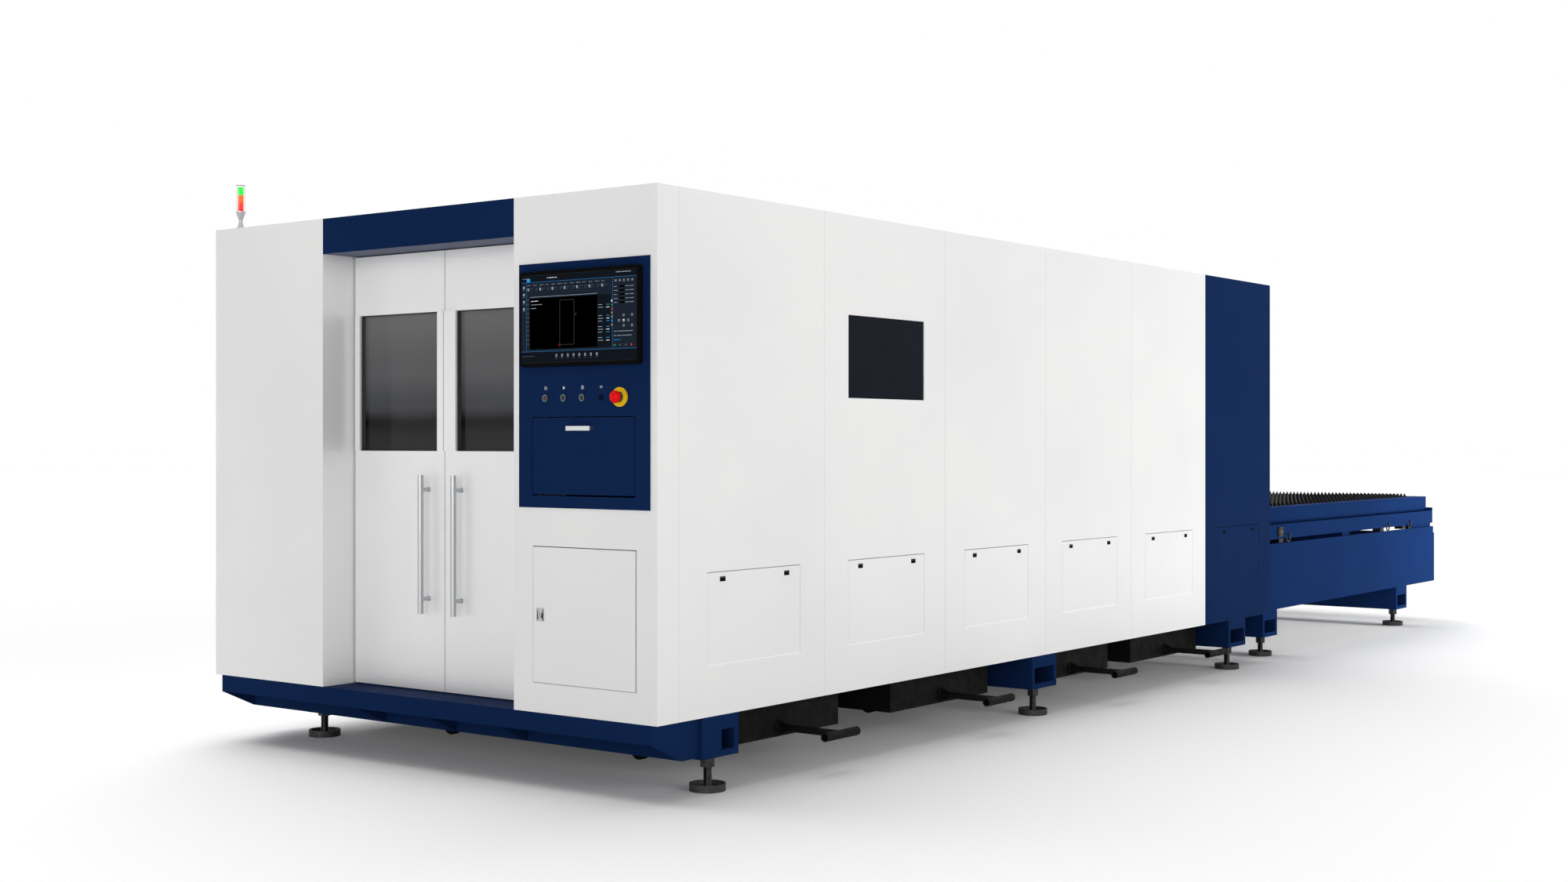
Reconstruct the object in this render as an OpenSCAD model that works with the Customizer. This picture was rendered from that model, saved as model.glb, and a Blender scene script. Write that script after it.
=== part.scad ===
// Fiber laser cutting machine: an enclosed cutting cell with a pallet exchange table behind it.
// Millimetres. X runs across the front, the front faces -Y, Z is up and the floor is z = 0.
// Every module is drawn with x = 0 on the middle plane and y = 0 on the front face.

/* [Enclosure] */
// Width of the enclosure
body_w = 2290; // [2200:10:2500]
// Height of the painted body
body_h = 1750; // [1700:10:1900]
// Height of the body's lower edge above the floor
body_z = 259; // [255:1:290]
// Length of the enclosure from front face to rear face
body_len = 5012; // [4900:4:5300]
// Length of the blue rear module
rear_len = 822; // [760:2:900]
// Depth of the front columns where they turn the corner
column_turn = 108; // [90:2:130]
// Depth of a folded panel
panel_t = 25; // [22:1:32]
// Thickness of a panel's skin
skin = 4; // [3:0.5:6]
// Gap between neighbouring panels
seam = 4; // [3:0.5:8]
// Number of roof panels
roof_count = 3; // [2:1:5]

/* [Front doors] */
// Width of the doorway between the columns
doorway_w = 1000; // [960:10:1060]
// How far the doors stand behind the front face
door_recess = 149; // [130:1:170]
// Thickness of a door leaf
leaf_t = 40; // [36:1:48]
// Gap between a leaf and the doorway wall
leaf_gap = 10; // [10:0.5:14]
// Gap between the two leaves, and above and below them
leaf_slit = 4; // [3:0.5:6]
// Height of the blue header over the doors
header_h = 132; // [110:2:160]
// Depth of the header, sill and doorway walls
doorway_d = 240; // [220:5:280]
// Height of the window's lower edge above the floor
window_z = 1141; // [1100:1:1200]
// Height of a door window
window_h = 510; // [440:5:560]
// Frame left beside a window at the outer edge
outer_stile = 32; // [28:1:60]
// Frame left beside a window at the meeting edge of the left leaf
left_stile = 32; // [28:1:60]
// Frame left beside a window at the meeting edge of the right leaf
right_stile = 61; // [40:1:80]
// How far the window panes stand behind the door face
pane_set = 18; // [14:1:32]
// Thickness of the window panes
pane_t = 6; // [4:0.5:7]
// Diameter of the bar handles
bar_d = 22; // [16:1:30]
// Length of the bar handles
bar_len = 508; // [400:5:600]
// Height of a bar handle's lower end above the floor
bar_z = 546; // [500:1:600]
// Distance of a bar handle from the meeting line
bar_x = 86; // [60:1:120]
// Distance of a bar handle's axis from the door face
bar_off = 40; // [30:1:50]
// Diameter of the door pivot pins
pivot_d = 16; // [10:1:20]
// Distance of a door's pivot axis from the leaf's outer edge
pivot_in = 26; // [24:1:34]
// How far the frame beside a window stands proud of the leaf
stile_proud = 8; // [4:0.5:9]

/* [Control column] */
// Width of the blue control panel
control_w = 588; // [570:1:600]
// Height of the blue control panel
control_h = 825; // [810:1:850]
// Height of the control panel's lower edge above the floor
control_z = 953; // [940:1:980]
// How far the control panel stands proud of the column
control_t = 4; // [3:0.5:8]
// Width of the monitor
monitor_w = 530; // [480:1:550]
// Height of the monitor
monitor_h = 320; // [300:1:325]
// Depth of the monitor
monitor_t = 25; // [20:1:30]
// Border of the monitor around its screen
monitor_rim = 12; // [8:0.5:20]
// Diameter of a push button's cap
button_d = 17; // [14:0.5:20]
// How far a push button travels
button_travel = 3; // [2:0.5:4]
// Distance between neighbouring controls in the button row
button_pitch = 84; // [76:0.5:88]
// Height of the button row above the floor
button_z = 1322; // [1310:1:1330]
// Diameter of the emergency stop's mushroom
stop_d = 41; // [34:1:46]
// Diameter of the emergency stop's ring
stop_ring_d = 64; // [52:1:70]
// How far the emergency stop travels
stop_travel = 5; // [4:0.5:7]
// Width of the keyboard flap and of the lower door
flap_w = 458; // [420:1:480]
// Height of the keyboard flap
flap_h = 257; // [240:1:262]
// Height of the keyboard flap's lower edge above the floor
flap_z = 999; // [990:1:1010]
// Thickness of the keyboard flap and of the lower door
flap_t = 18; // [16:1:22]
// Height of the lower door
lower_door_h = 458; // [420:1:500]
// Height of the lower door's lower edge above the floor
lower_door_z = 362; // [340:1:400]

/* [Side] */
// Length of a side hatch and of the side window
hatch_len = 515; // [460:1:560]
// Height of a side hatch
hatch_h = 307; // [280:1:340]
// Height of a side hatch's lower edge above the floor
hatch_z = 431; // [420:1:460]
// Thickness of a side hatch
hatch_t = 24; // [20:0.5:24.5]
// Side of a square finger latch
latch_w = 22; // [18:1:30]
// Height of the side window
side_window_h = 306; // [260:1:340]
// Height of the side window's lower edge above the floor
side_window_z = 1336; // [1300:1:1400]

/* [Bed and feet] */
// Height of the cross tubes' underside above the floor
tube_z = 119; // [112:1:126]
// Width of the middle and rear cross tubes
tube_w = 212; // [190:2:220]
// Width of the front cross tube
front_tube_w = 194; // [180:2:210]
// Wall of the cross tubes
tube_wall = 22; // [16:1:24]
// Height of the opening in a cross tube's end
tube_mouth_h = 68; // [60:1:74]
// Width of the opening in the front cross tube's end
front_mouth_w = 69; // [60:1:110]
// Distance of the left feet of the bed from the left side
left_foot_in = 260; // [60:1:300]
// Diameter of a foot's pad
foot_d = 124; // [100:2:140]
// Height of a foot's pad
foot_h = 26; // [20:1:32]
// Diameter of a foot's stem
stem_d = 30; // [24:1:36]
// Height of the lock nuts
nut_h = 30; // [22:1:34]
// Thickness of the bed's side walls
bed_wall = 35; // [30:1:40]
// Height of the gantry rails' seat above the floor
rail_z = 950; // [940:1:980]

/* [Scrap carts] */
// Width of a scrap cart along the machine
cart_w = 745; // [700:5:760]
// Height of a cart's floor above the ground
cart_z = 107; // [100:1:115]
// Height of a cart's side walls
cart_h = 138; // [110:1:142]
// Thickness of a cart's sheet
cart_t = 5; // [3:0.5:8]
// Distance of a cart's face from the side of the machine
cart_set = 155; // [140:1:175]
// Diameter of a cart wheel
wheel_d = 80; // [70:1:90]
// Diameter of a T-handle's cross bar
tee_d = 32; // [26:1:36]
// Length of a T-handle's cross bar
tee_len = 200; // [150:5:240]
// How far a T-handle's cross bar lies outside the machine's side
tee_out = 120; // [90:1:140]

/* [Exchange table] */
// Width of the exchange table over its skirts
table_w = 2090; // [2060:5:2120]
// Width of the roller rails
roll_w = 60; // [50:1:70]
// Distance from the front face to the far end of the table
table_end = 8035; // [7900:5:8200]
// Height of the skirts' lower edge above the floor
skirt_z = 250; // [240:1:256]
// Height of the skirts' upper edge above the floor
skirt_top = 612; // [600:1:618]
// Height of the far end plate's upper edge above the floor
end_top = 569; // [540:1:600]
// Height of the roller rails' lower edge above the floor
roll_z = 636; // [630:1:642]
// Height of the roller rails
roll_h = 81; // [72:1:86]
// Width of the pallet
pallet_w = 2040; // [2000:5:2050]
// Length of the pallet
pallet_len = 2910; // [2800:10:2930]
// Height of the pallet's underside above the floor
pallet_z = 731; // [730:1:735]
// Height of the pallet's side members
pallet_h = 80; // [70:1:84]
// Width of the pallet's side members
pallet_rim = 80; // [70:1:90]
// Number of toothed slats
slat_count = 45; // [24:1:60]
// Thickness of a slat
slat_t = 5; // [3:0.5:8]
// Width of a slat's tooth
tooth_w = 56; // [40:1:62]
// Height of a slat's tooth
tooth_h = 24; // [18:1:36]
// Height of the slats' tips above the pallet's side members
tip_rise = 22; // [15:1:24]

/* [Gantry] */
// Width of a gantry rail
rail_w = 40; // [30:1:44]
// Height of a gantry rail
rail_h = 30; // [24:1:34]
// Height of the gantry's cross beam
beam_h = 260; // [220:5:300]
// Depth of the gantry's cross beam
beam_d = 240; // [200:5:260]
// Distance of the parked gantry from the front face
gantry_y = 800; // [760:5:900]
// Height of the parked nozzle's tip above the floor
nozzle_z = 960; // [955:1:970]

/* [Signal tower] */
// Diameter of the tower's clear cover
tower_d = 37; // [34:1:50]
// Diameter of the coloured lenses inside the cover
lens_d = 20; // [14:1:26]
// Height of each coloured lens
lens_h = 32; // [28:1:42]
// Height of the waisted neck that carries the cover
neck_h = 72; // [50:1:90]

/* [Hidden] */
$fn = 48;

white = [0.90, 0.90, 0.90];
blue = [0.07, 0.14, 0.30];
steel = [0.72, 0.73, 0.75];
dark = [0.10, 0.10, 0.11];
glass = [0.16, 0.17, 0.19];

// Shared clearances: round running fits, swinging edges and a hair between seated pieces
run_gap = 0.4;
swing_gap = 6;
edge_gap = 3;
hair = 0.3;
cut = 1;

half_w = body_w / 2;
inner_x = half_w - panel_t;
body_top = body_z + body_h;
white_len = body_len - rear_len;
panel_count = 5;
panel_pitch = (white_len - column_turn) / panel_count;
hatch_ys = [for (i = [0:panel_count]) i < panel_count
    ? column_turn + panel_pitch * (i + 0.5)
    : body_len - rear_len / 2];

// Doorway and doors
column_x = doorway_w / 2;
column_t = 20;
header_z = body_top - header_h;
leaf_x = column_x - leaf_gap;
leaf_z = body_z + leaf_slit;
leaf_top = header_z - leaf_slit;
pivot_x = leaf_x - pivot_in;
pivot_y = door_recess + leaf_t / 2;
pivot_depth = 45;
pane_lap = 12;
stile_set = 6;
bar_ends = 54;
bar_post_d = 14;

// Control column
control_x = (column_x + half_w) / 2;
core_in = 20;
core_t = 18;
button_show = 4;
button_proud = button_travel + button_show;
ring_d = button_d + 7;
ring_t = 5;
socket_d = 18;
stop_ring_t = 6;
stop_stem_d = 22;
stop_dome = 20;
stop_show = 9;
stop_reach = stop_dome + stop_ring_t + stop_travel + stop_show;
pin_d = 8;
pin_reach = 8;
pin_up = 9;
flap_y = -control_t;
flap_pin_in = 5;
hatch_pin_in = skin + pin_d / 2 + run_gap + 0.2;
pull_size = [108, 24, 15];
pull_t = 7;
pull_down = 36;
keyboard_size = [400, 14, 150];
key_rows = 5;
key_columns = 15;
key_t = 6;

// Bed
front_tube_y = 326;
rear_tube_in = 431;
middle_tube_back = 93.5;
rear_tube_y = body_len - rear_tube_in;
middle_tube_y = (front_tube_y + rear_tube_y) / 2 + middle_tube_back;
tube_ys = [front_tube_y, middle_tube_y, rear_tube_y];
bed_y0 = 60;
bed_wall_x = inner_x - bed_wall;
flange_h = 80;
flange_w = 125;
rail_in = 80;
rail_x = inner_x - rail_in;
hatch_room = 20;
step_in = 20;
step_left = 40;
band_h = 65;
step_beam_z = 125;
sill_t = 14;
gusset_xs = [-329, 51, 407];
gusset_t = 10;
foot_in = 57;
pad_floor = 10;
pad_rim = 5;
nut_drop = 8;
nut_d = 52;

// Carts
cart_x = half_w - cart_set;
cart_gaps = [61.5, 109.5, 40.5, 54.5];
cart_ys = [
    front_tube_y + front_tube_w / 2 + cart_gaps[0] + cart_w / 2,
    middle_tube_y - tube_w / 2 - cart_gaps[1] - cart_w / 2,
    middle_tube_y + tube_w / 2 + cart_gaps[2] + cart_w / 2,
    rear_tube_y - tube_w / 2 - cart_gaps[3] - cart_w / 2
];
tee_z = cart_z + 33;
tee_wall = 4;
tee_rod_d = tee_d - 6;
tee_flange_d = 58;
tee_flange_t = 6;
wheel_w = 25;
wheel_x = 500;
wheel_y = 200;

// Exchange table: the rollers follow the pallet, the skirts follow the table's width
table_x = table_w / 2;
pallet_y1 = table_end - 85;
pallet_y0 = pallet_y1 - pallet_len;
pallet_r = 8;
pallet_tail = 120;
pallet_head = 60;
pallet_top = pallet_z + pallet_h;
slat_x = pallet_w / 2 - pallet_rim;
slat_in = 30;
slat_lift = 4;
portal_rise = 170;
table_y0 = body_len;
rail_end = table_end - 35;
roll_top = roll_z + roll_h;
roll_wall = 8;
lip_gap = 2;
stop_h = 20;
roller_d = 60;
roller_w = 36;
roller_set = 7;
roller_gap = 2;
roller_count = 9;
roller_head = 140;
roller_tail = 208;
roller_pitch = (rail_end - table_y0 - roller_head - roller_tail) / (roller_count - 1);
roller_x = slat_x + roller_set;
roller_z = pallet_z - hair - roller_d / 2;
roll_x = roller_x + roller_w + roller_gap;
roll_out = roll_x + roll_w;
axle_d = 2 * (roll_top - roll_wall - roller_z - hair);
skirt_t = 20;
table_tube_in = [245, 644];
table_tube_ys = [table_y0 + table_tube_in[0], table_end - table_tube_in[1]];
table_tube_w = 196;
table_tube_h = 142;
table_tube_z = skirt_z - table_tube_h;
bracket_w = 120;
bracket_pitch = 1240;
corner_len = 395;
bracket_in = 150;
bracket_h = 40;
hook_in = [508, 894, 490];
hook_ys = [table_y0 + hook_in[0], table_end - hook_in[1], table_end - hook_in[2]];
hook_d = 8;
hook_r = 26;
hook_drop = 18;
hook_block = [50, 60, 22];
hook_block_back = 50;

// Gantry
gantry_len = 400;
shoe_h = 80;
shoe_z = rail_z + rail_h + hair;
beam_z = shoe_z + shoe_h;
x_rail_t = 20;
carriage_t = 40;
carriage_w = 260;
carriage_h = 340;
carriage_drop = 40;
beam_over = 50;
beam_wall = 16;
x_rail_h = 30;
x_rail_in = 40;
head_w = 120;
head_h = 280;
nozzle_h = 150;

// Signal tower
tower_x = -half_w + 90;
tower_y = 50;
tower_flange_d = 50;
tower_waist_d = 14;
tower_wall = 2.5;
tower_top = 8;

// The finished part is centred over its own footprint
tee_tip = half_w + tee_out + tee_d / 2;
front_tip = -control_t - stop_reach;
shift = [-(tee_tip - half_w) / 2, -(table_end + front_tip) / 2, 0];

module placed() {
    translate(shift) children();
}

// A box from its lowest to its highest corner
module block(lo, hi) {
    translate(lo) cube(hi - lo);
}

module both_sides() {
    children();
    mirror([1, 0, 0]) children();
}

module rounded_rect(size, r) {
    for (x = [r, size.x - r], y = [r, size.y - r]) translate([x, y]) circle(r);
    translate([r, 0]) square([size.x - 2 * r, size.y]);
    translate([0, r]) square([size.x, size.y - 2 * r]);
}

// A round bar along X, Y or Z from a starting point
module bar_along_x(at, d, len) {
    translate(at) rotate([0, 90, 0]) cylinder(d = d, h = len);
}
module bar_along_y(at, d, len) {
    translate(at) rotate([-90, 0, 0]) cylinder(d = d, h = len);
}
module bar_along_z(at, d, len) {
    translate(at) cylinder(d = d, h = len);
}

// A cross tube with open ends, seated under what stands on it; its mouth lies against the rear wall
module cross_tube(y, w, mouth_w, half_len, z0, z1) {
    mouth_y = y + w / 2 - tube_wall;
    difference() {
        block([-half_len, y - w / 2, z0], [half_len, y + w / 2, z1]);
        block([-half_len - cut, mouth_y - mouth_w, z0 + tube_wall],
              [half_len + cut, mouth_y, z0 + tube_wall + tube_mouth_h]);
    }
}

// One side of the bed: its wall, the flange under a gantry rail and the ledge for the pallet
module bed_side() {
    bed_end = body_len - panel_t;
    room = hatch_len / 2 + edge_gap + hatch_room;
    difference() {
        block([bed_wall_x, bed_y0, body_z], [inner_x, bed_end, rail_z]);
        for (y = hatch_ys)
            block([bed_wall_x - cut, y - room, hatch_z - swing_gap - hatch_room],
                  [inner_x + cut, y + room, hatch_z + hatch_h + hatch_room]);
    }
    block([bed_wall_x - flange_w, gantry_y - gantry_len, rail_z - flange_h],
          [bed_wall_x, white_len, rail_z]);
    block([min(roller_x, bed_wall_x - roller_w), gantry_y - gantry_len, roll_z],
          [bed_wall_x, bed_end, roll_top]);
}

module bed_frame() {
    color(blue) {
        cross_tube(tube_ys[0], front_tube_w, front_mouth_w, half_w, tube_z, body_z);
        for (y = [tube_ys[1], tube_ys[2]])
            cross_tube(y, tube_w, tube_w - 2 * tube_wall, half_w, tube_z, body_z);
        both_sides() bed_side();
    }
}

// A sill on gussets in front of a channel beam that opens to the tube behind it, closed at each end
module front_step() {
    x0 = step_left - half_w;
    x1 = half_w - step_in;
    band_z = body_z - band_h;
    step_end = tube_ys[0] - front_tube_w / 2;
    color(blue) {
        block([x0, 0, band_z], [x1, sill_t, body_z]);
        block([x0, 0, body_z - sill_t], [x1, step_end, body_z]);
        difference() {
            block([x0, door_recess, step_beam_z], [x1, step_end, body_z]);
            block([x0 + gusset_t, door_recess + sill_t, step_beam_z + sill_t],
                  [x1 - gusset_t, step_end + cut, body_z - sill_t]);
        }
        for (x = concat([x0], gusset_xs, [x1 - gusset_t]))
            translate([x, 0, 0]) rotate([90, 0, 90]) linear_extrude(gusset_t)
                polygon([[0, band_z], [0, body_z - sill_t], [door_recess, body_z - sill_t],
                         [door_recess, step_beam_z]]);
    }
}

// Where each foot meets the underside of its cross tube
foot_tops = concat(
    [for (y = tube_ys, x = [half_w - foot_in, left_foot_in - half_w]) [x, y, tube_z]],
    [for (y = table_tube_ys, s = [1, -1]) [s * (table_x - foot_in), y, table_tube_z]]
);

// A dished round pad: the stem stands on its sunk floor
module foot_pads() {
    r = foot_d / 2;
    color(dark) for (p = foot_tops) translate([p.x, p.y, 0]) rotate_extrude()
        polygon([[0, 0], [r, 0], [r, foot_h], [r - pad_rim, foot_h], [r - pad_rim - 4, pad_floor],
                 [0, pad_floor]]);
}

module foot_stems() {
    color(steel) for (p = foot_tops)
        bar_along_z([p.x, p.y, pad_floor], stem_d, p.z - pad_floor);
}

module foot_nuts() {
    color(steel) for (p = foot_tops) translate([p.x, p.y, p.z - nut_drop - nut_h])
        difference() {
            cylinder(d = nut_d, h = nut_h, $fn = 6);
            translate([0, 0, -cut]) cylinder(d = stem_d + 2 * hair, h = nut_h + 2 * cut);
        }
}

// The folded sheet of a front column, drawn on the right
module front_column() {
    block([column_x, 0, body_z], [half_w, column_t, body_top]);
    block([inner_x, 0, body_z], [half_w, column_turn - seam / 2, body_top]);
    block([column_x, 0, body_z], [column_x + column_t, doorway_d, body_top]);
    block([column_x, 0, body_top - column_t], [half_w, column_turn - seam / 2, body_top]);
    block([column_x, 0, body_top - column_t], [inner_x, doorway_d, body_top]);
}

module left_front_column() {
    color(white) mirror([1, 0, 0]) front_column();
}

module right_front_column() {
    core_x = control_w / 2 - core_in + hair;
    door_x = flap_w / 2;
    color(white) difference() {
        front_column();
        block([control_x - core_x, -cut, control_z + core_in - hair],
              [control_x + core_x, column_t + cut, control_z + control_h - core_in + hair]);
        block([control_x - door_x - edge_gap, -cut, lower_door_z - edge_gap],
              [control_x + door_x + swing_gap, column_t + cut, lower_door_z + lower_door_h + edge_gap]);
        bar_along_z([control_x + door_x - flap_t / 2, flap_t / 2, lower_door_z - pin_reach - 2],
                    pin_d + 2 * run_gap, lower_door_h + 2 * pin_reach + 4);
    }
}

module front_header() {
    color(blue) block([-column_x, 0, header_z], [column_x, doorway_d, body_top]);
}

// One folded side panel: a shallow tray that opens inwards
module side_panel(i) {
    y0 = column_turn + panel_pitch * i + seam / 2;
    y1 = y0 + panel_pitch - seam;
    difference() {
        block([inner_x, y0, body_z], [half_w, y1, body_top]);
        block([inner_x - cut, y0 + skin, body_z + skin], [half_w - skin, y1 - skin, body_top - skin]);
    }
}

module hatch_hole(y) {
    block([inner_x - cut, y - hatch_len / 2 - edge_gap, hatch_z - swing_gap],
          [half_w + cut, y + hatch_len / 2 + edge_gap, hatch_z + hatch_h + edge_gap]);
}

// Lugs behind the skin that hold a hatch's two pins
module hatch_lugs(y) {
    for (s = [-1, 1]) difference() {
        translate([inner_x, y + s * (hatch_len / 2 + edge_gap + 4) - 4, hatch_z - swing_gap - 8])
            cube([panel_t - skin, 8, 36]);
        bar_along_y([half_w - hatch_pin_in, y - hatch_len, hatch_z + pin_up], pin_d + 2 * run_gap,
                    2 * hatch_len);
    }
}

module side_window_hole(grow) {
    y = hatch_ys[1];
    block([inner_x - cut, y - hatch_len / 2 - grow, side_window_z - grow],
          [half_w + cut, y + hatch_len / 2 + grow, side_window_z + side_window_h + grow]);
}

module right_side_panels() {
    color(white) {
        difference() {
            for (i = [0:panel_count - 1]) side_panel(i);
            for (i = [0:panel_count - 1]) hatch_hole(hatch_ys[i]);
            side_window_hole(0);
        }
        for (i = [0:panel_count - 1]) hatch_lugs(hatch_ys[i]);
    }
}

module left_side_panels() {
    color(white) mirror([1, 0, 0]) for (i = [0:panel_count - 1]) side_panel(i);
}

module side_window_glass() {
    y = hatch_ys[1];
    lap = 15;
    color(glass) block([half_w - skin - pane_t, y - hatch_len / 2 - lap, side_window_z - lap],
                       [half_w - skin, y + hatch_len / 2 + lap, side_window_z + side_window_h + lap]);
}

module roof_panels() {
    y0 = doorway_d;
    pitch = (white_len - y0) / roof_count;
    color(white) for (i = [0:roof_count - 1]) difference() {
        block([-inner_x, y0 + pitch * i, body_top - panel_t],
              [inner_x, y0 + pitch * (i + 1) - seam, body_top]);
        block([-inner_x + skin, y0 + pitch * i + skin, body_top - panel_t - cut],
              [inner_x - skin, y0 + pitch * (i + 1) - seam - skin, body_top - skin]);
    }
}

module rear_module() {
    portal_x = bed_wall_x - panel_t;
    portal_top = pallet_top + portal_rise;
    color(blue) {
        difference() {
            block([-half_w, white_len + seam / 2, body_z], [half_w, body_len, body_top]);
            block([-inner_x, white_len, body_z - cut], [inner_x, body_len - panel_t, body_top - panel_t]);
            block([-portal_x, body_len - panel_t - cut, roll_z - 5], [portal_x, body_len + cut, portal_top]);
            difference() {
                block([inner_x - cut, white_len + seam / 2 + panel_t, body_z + panel_t],
                      [half_w - skin, body_len - 2 * panel_t, body_top - panel_t]);
                hatch_hole(hatch_ys[panel_count]);
            }
            hatch_hole(hatch_ys[panel_count]);
        }
        hatch_lugs(hatch_ys[panel_count]);
    }
}

module door_pivot_pins() {
    color(steel) both_sides() {
        bar_along_z([pivot_x, pivot_y, body_z], pivot_d, leaf_slit + pivot_depth - 2);
        bar_along_z([pivot_x, pivot_y, leaf_top - pivot_depth + 2], pivot_d, leaf_slit + pivot_depth - 2);
    }
}

// A door leaf and its pane, drawn on the left; stile is the frame at the meeting edge
module leaf(stile) {
    x0 = -leaf_x + outer_stile;
    x1 = -leaf_slit / 2 - stile;
    pane_y = door_recess + pane_set;
    bore_d = pivot_d + 2 * run_gap;
    window_top = window_z + window_h;
    stile_y = door_recess - stile_proud;
    block([-leaf_x + stile_set, stile_y, window_z], [x0, door_recess, window_top]);
    block([x1, stile_y, window_z], [-leaf_slit / 2, door_recess, window_top]);
    difference() {
        block([-leaf_x, door_recess, leaf_z], [-leaf_slit / 2, door_recess + leaf_t, leaf_top]);
        block([x0, door_recess - cut, window_z], [x1, door_recess + leaf_t + cut, window_top]);
        block([x0 - pane_lap, pane_y, window_z - pane_lap],
              [x1 + pane_lap, door_recess + leaf_t + cut, window_top + pane_lap]);
        bar_along_z([-pivot_x, pivot_y, leaf_z - cut], bore_d, pivot_depth + cut);
        bar_along_z([-pivot_x, pivot_y, leaf_top - pivot_depth], bore_d, pivot_depth + cut);
    }
}

module pane(stile) {
    x0 = -leaf_x + outer_stile - pane_lap + hair;
    x1 = -leaf_slit / 2 - stile + pane_lap - hair;
    pane_y = door_recess + pane_set;
    block([x0, pane_y, window_z - pane_lap + hair],
          [x1, pane_y + pane_t, window_z + window_h + pane_lap - hair]);
}

module bar_handle() {
    bar_y = door_recess - bar_off;
    bar_along_z([-bar_x, bar_y, bar_z], bar_d, bar_len);
    for (z = [bar_z + bar_ends, bar_z + bar_len - bar_ends])
        bar_along_y([-bar_x, bar_y, z], bar_post_d, bar_off);
}

module left_door() {
    color(white) leaf(left_stile);
}
module left_door_glass() {
    color(glass) pane(left_stile);
}
module left_door_handle() {
    color(steel) bar_handle();
}
module right_door() {
    color(white) mirror([1, 0, 0]) leaf(right_stile);
}
module right_door_glass() {
    color(glass) mirror([1, 0, 0]) pane(right_stile);
}
module right_door_handle() {
    color(steel) mirror([1, 0, 0]) bar_handle();
}

// Middle of a control in the button row, counted from the left
function control_at(i) = [control_x + (i - 2) * button_pitch, -control_t, button_z];

module control_panel() {
    face_x = control_w / 2;
    core_x = face_x - core_in;
    flap_x = flap_w / 2;
    color(blue) difference() {
        union() {
            block([control_x - face_x, -control_t, control_z],
                  [control_x + face_x, 0, control_z + control_h]);
            block([control_x - core_x, 0, control_z + core_in],
                  [control_x + core_x, core_t, control_z + control_h - core_in]);
        }
        block([control_x - flap_x - edge_gap, -control_t - cut, flap_z - swing_gap],
              [control_x + flap_x + edge_gap, core_t + cut, flap_z + flap_h + edge_gap]);
        bar_along_x([control_x - flap_x - pin_reach - 2, flap_y + flap_pin_in, flap_z + pin_up],
                    pin_d + 2 * run_gap, flap_w + 2 * pin_reach + 4);
        for (i = [0:2]) translate([0, -cut, 0])
            bar_along_y(control_at(i), button_d + 2 * run_gap, control_t + core_t + 2 * cut);
        translate([0, -cut, 0])
            bar_along_y(control_at(4), stop_stem_d + 2 * run_gap, control_t + core_t + 2 * cut);
    }
}

module monitor_shape(grow, t) {
    z = control_z + control_h - 30 - monitor_h;
    translate([control_x - monitor_w / 2 - grow, -control_t, z - grow]) rotate([90, 0, 0])
        linear_extrude(t) rounded_rect([monitor_w + 2 * grow, monitor_h + 2 * grow], 10 + max(grow, -6));
}

module monitor_bezel() {
    color(dark) difference() {
        monitor_shape(0, monitor_t);
        translate([0, 3 - monitor_t, 0]) monitor_shape(-monitor_rim, monitor_t);
    }
}

module monitor_screen() {
    color([0.05, 0.09, 0.13]) translate([0, 3 - monitor_t, 0]) monitor_shape(-monitor_rim - hair, 2);
}

module button_rings() {
    color(steel) for (i = [0:2]) difference() {
        translate([0, -ring_t, 0]) bar_along_y(control_at(i), ring_d, ring_t);
        translate([0, -ring_t - cut, 0]) bar_along_y(control_at(i), button_d + 2 * run_gap, ring_t + 2 * cut);
    }
}

// A small round data socket with a flat slot
module usb_port() {
    at = control_at(3);
    proud = 2;
    slot = [6, proud, 2.5];
    color(dark) difference() {
        translate([0, -proud, 0]) bar_along_y(at, socket_d, proud);
        block(at - slot - [0, cut, 0], at + [slot.x, cut, slot.z]);
    }
}

module stop_ring() {
    color([0.95, 0.80, 0.08]) difference() {
        translate([0, -stop_ring_t, 0]) bar_along_y(control_at(4), stop_ring_d, stop_ring_t);
        translate([0, -stop_ring_t - cut, 0])
            bar_along_y(control_at(4), stop_stem_d + 2 * run_gap, stop_ring_t + 2 * cut);
    }
}

// A push button: a flat cap with a turned edge on a plain stem
module push_button(i) {
    r = button_d / 2;
    translate(control_at(i)) rotate([90, 0, 0]) translate([0, 0, -core_t]) rotate_extrude()
        polygon([[0, 0], [r, 0], [r, core_t + button_proud - 1.5], [r - 1.5, core_t + button_proud],
                 [0, core_t + button_proud]]);
}

module power_button() {
    color([0.15, 0.75, 0.25]) push_button(0);
}
module start_button() {
    color([0.85, 0.85, 0.87]) push_button(1);
}
module lamp_button() {
    color([0.85, 0.85, 0.87]) push_button(2);
}

module stop_button() {
    r = stop_d / 2;
    neck = stop_reach - stop_dome;
    color([0.80, 0.06, 0.06]) translate(control_at(4)) rotate([90, 0, 0]) {
        translate([0, 0, -core_t]) cylinder(d = stop_stem_d, h = core_t + neck + cut);
        translate([0, 0, neck]) rotate_extrude()
            polygon([[0, 0], [r - 2, 0], [r, 3], [r, 9], [r - 2, 13], [r - 7, 17], [r - 13, stop_dome],
                     [0, stop_dome]]);
    }
}

module keyboard_flap() {
    x = flap_w / 2;
    color(blue) {
        block([control_x - x, flap_y, flap_z], [control_x + x, flap_y + flap_t, flap_z + flap_h]);
        bar_along_x([control_x - x - pin_reach, flap_y + flap_pin_in, flap_z + pin_up], pin_d,
                    flap_w + 2 * pin_reach);
    }
}

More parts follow.
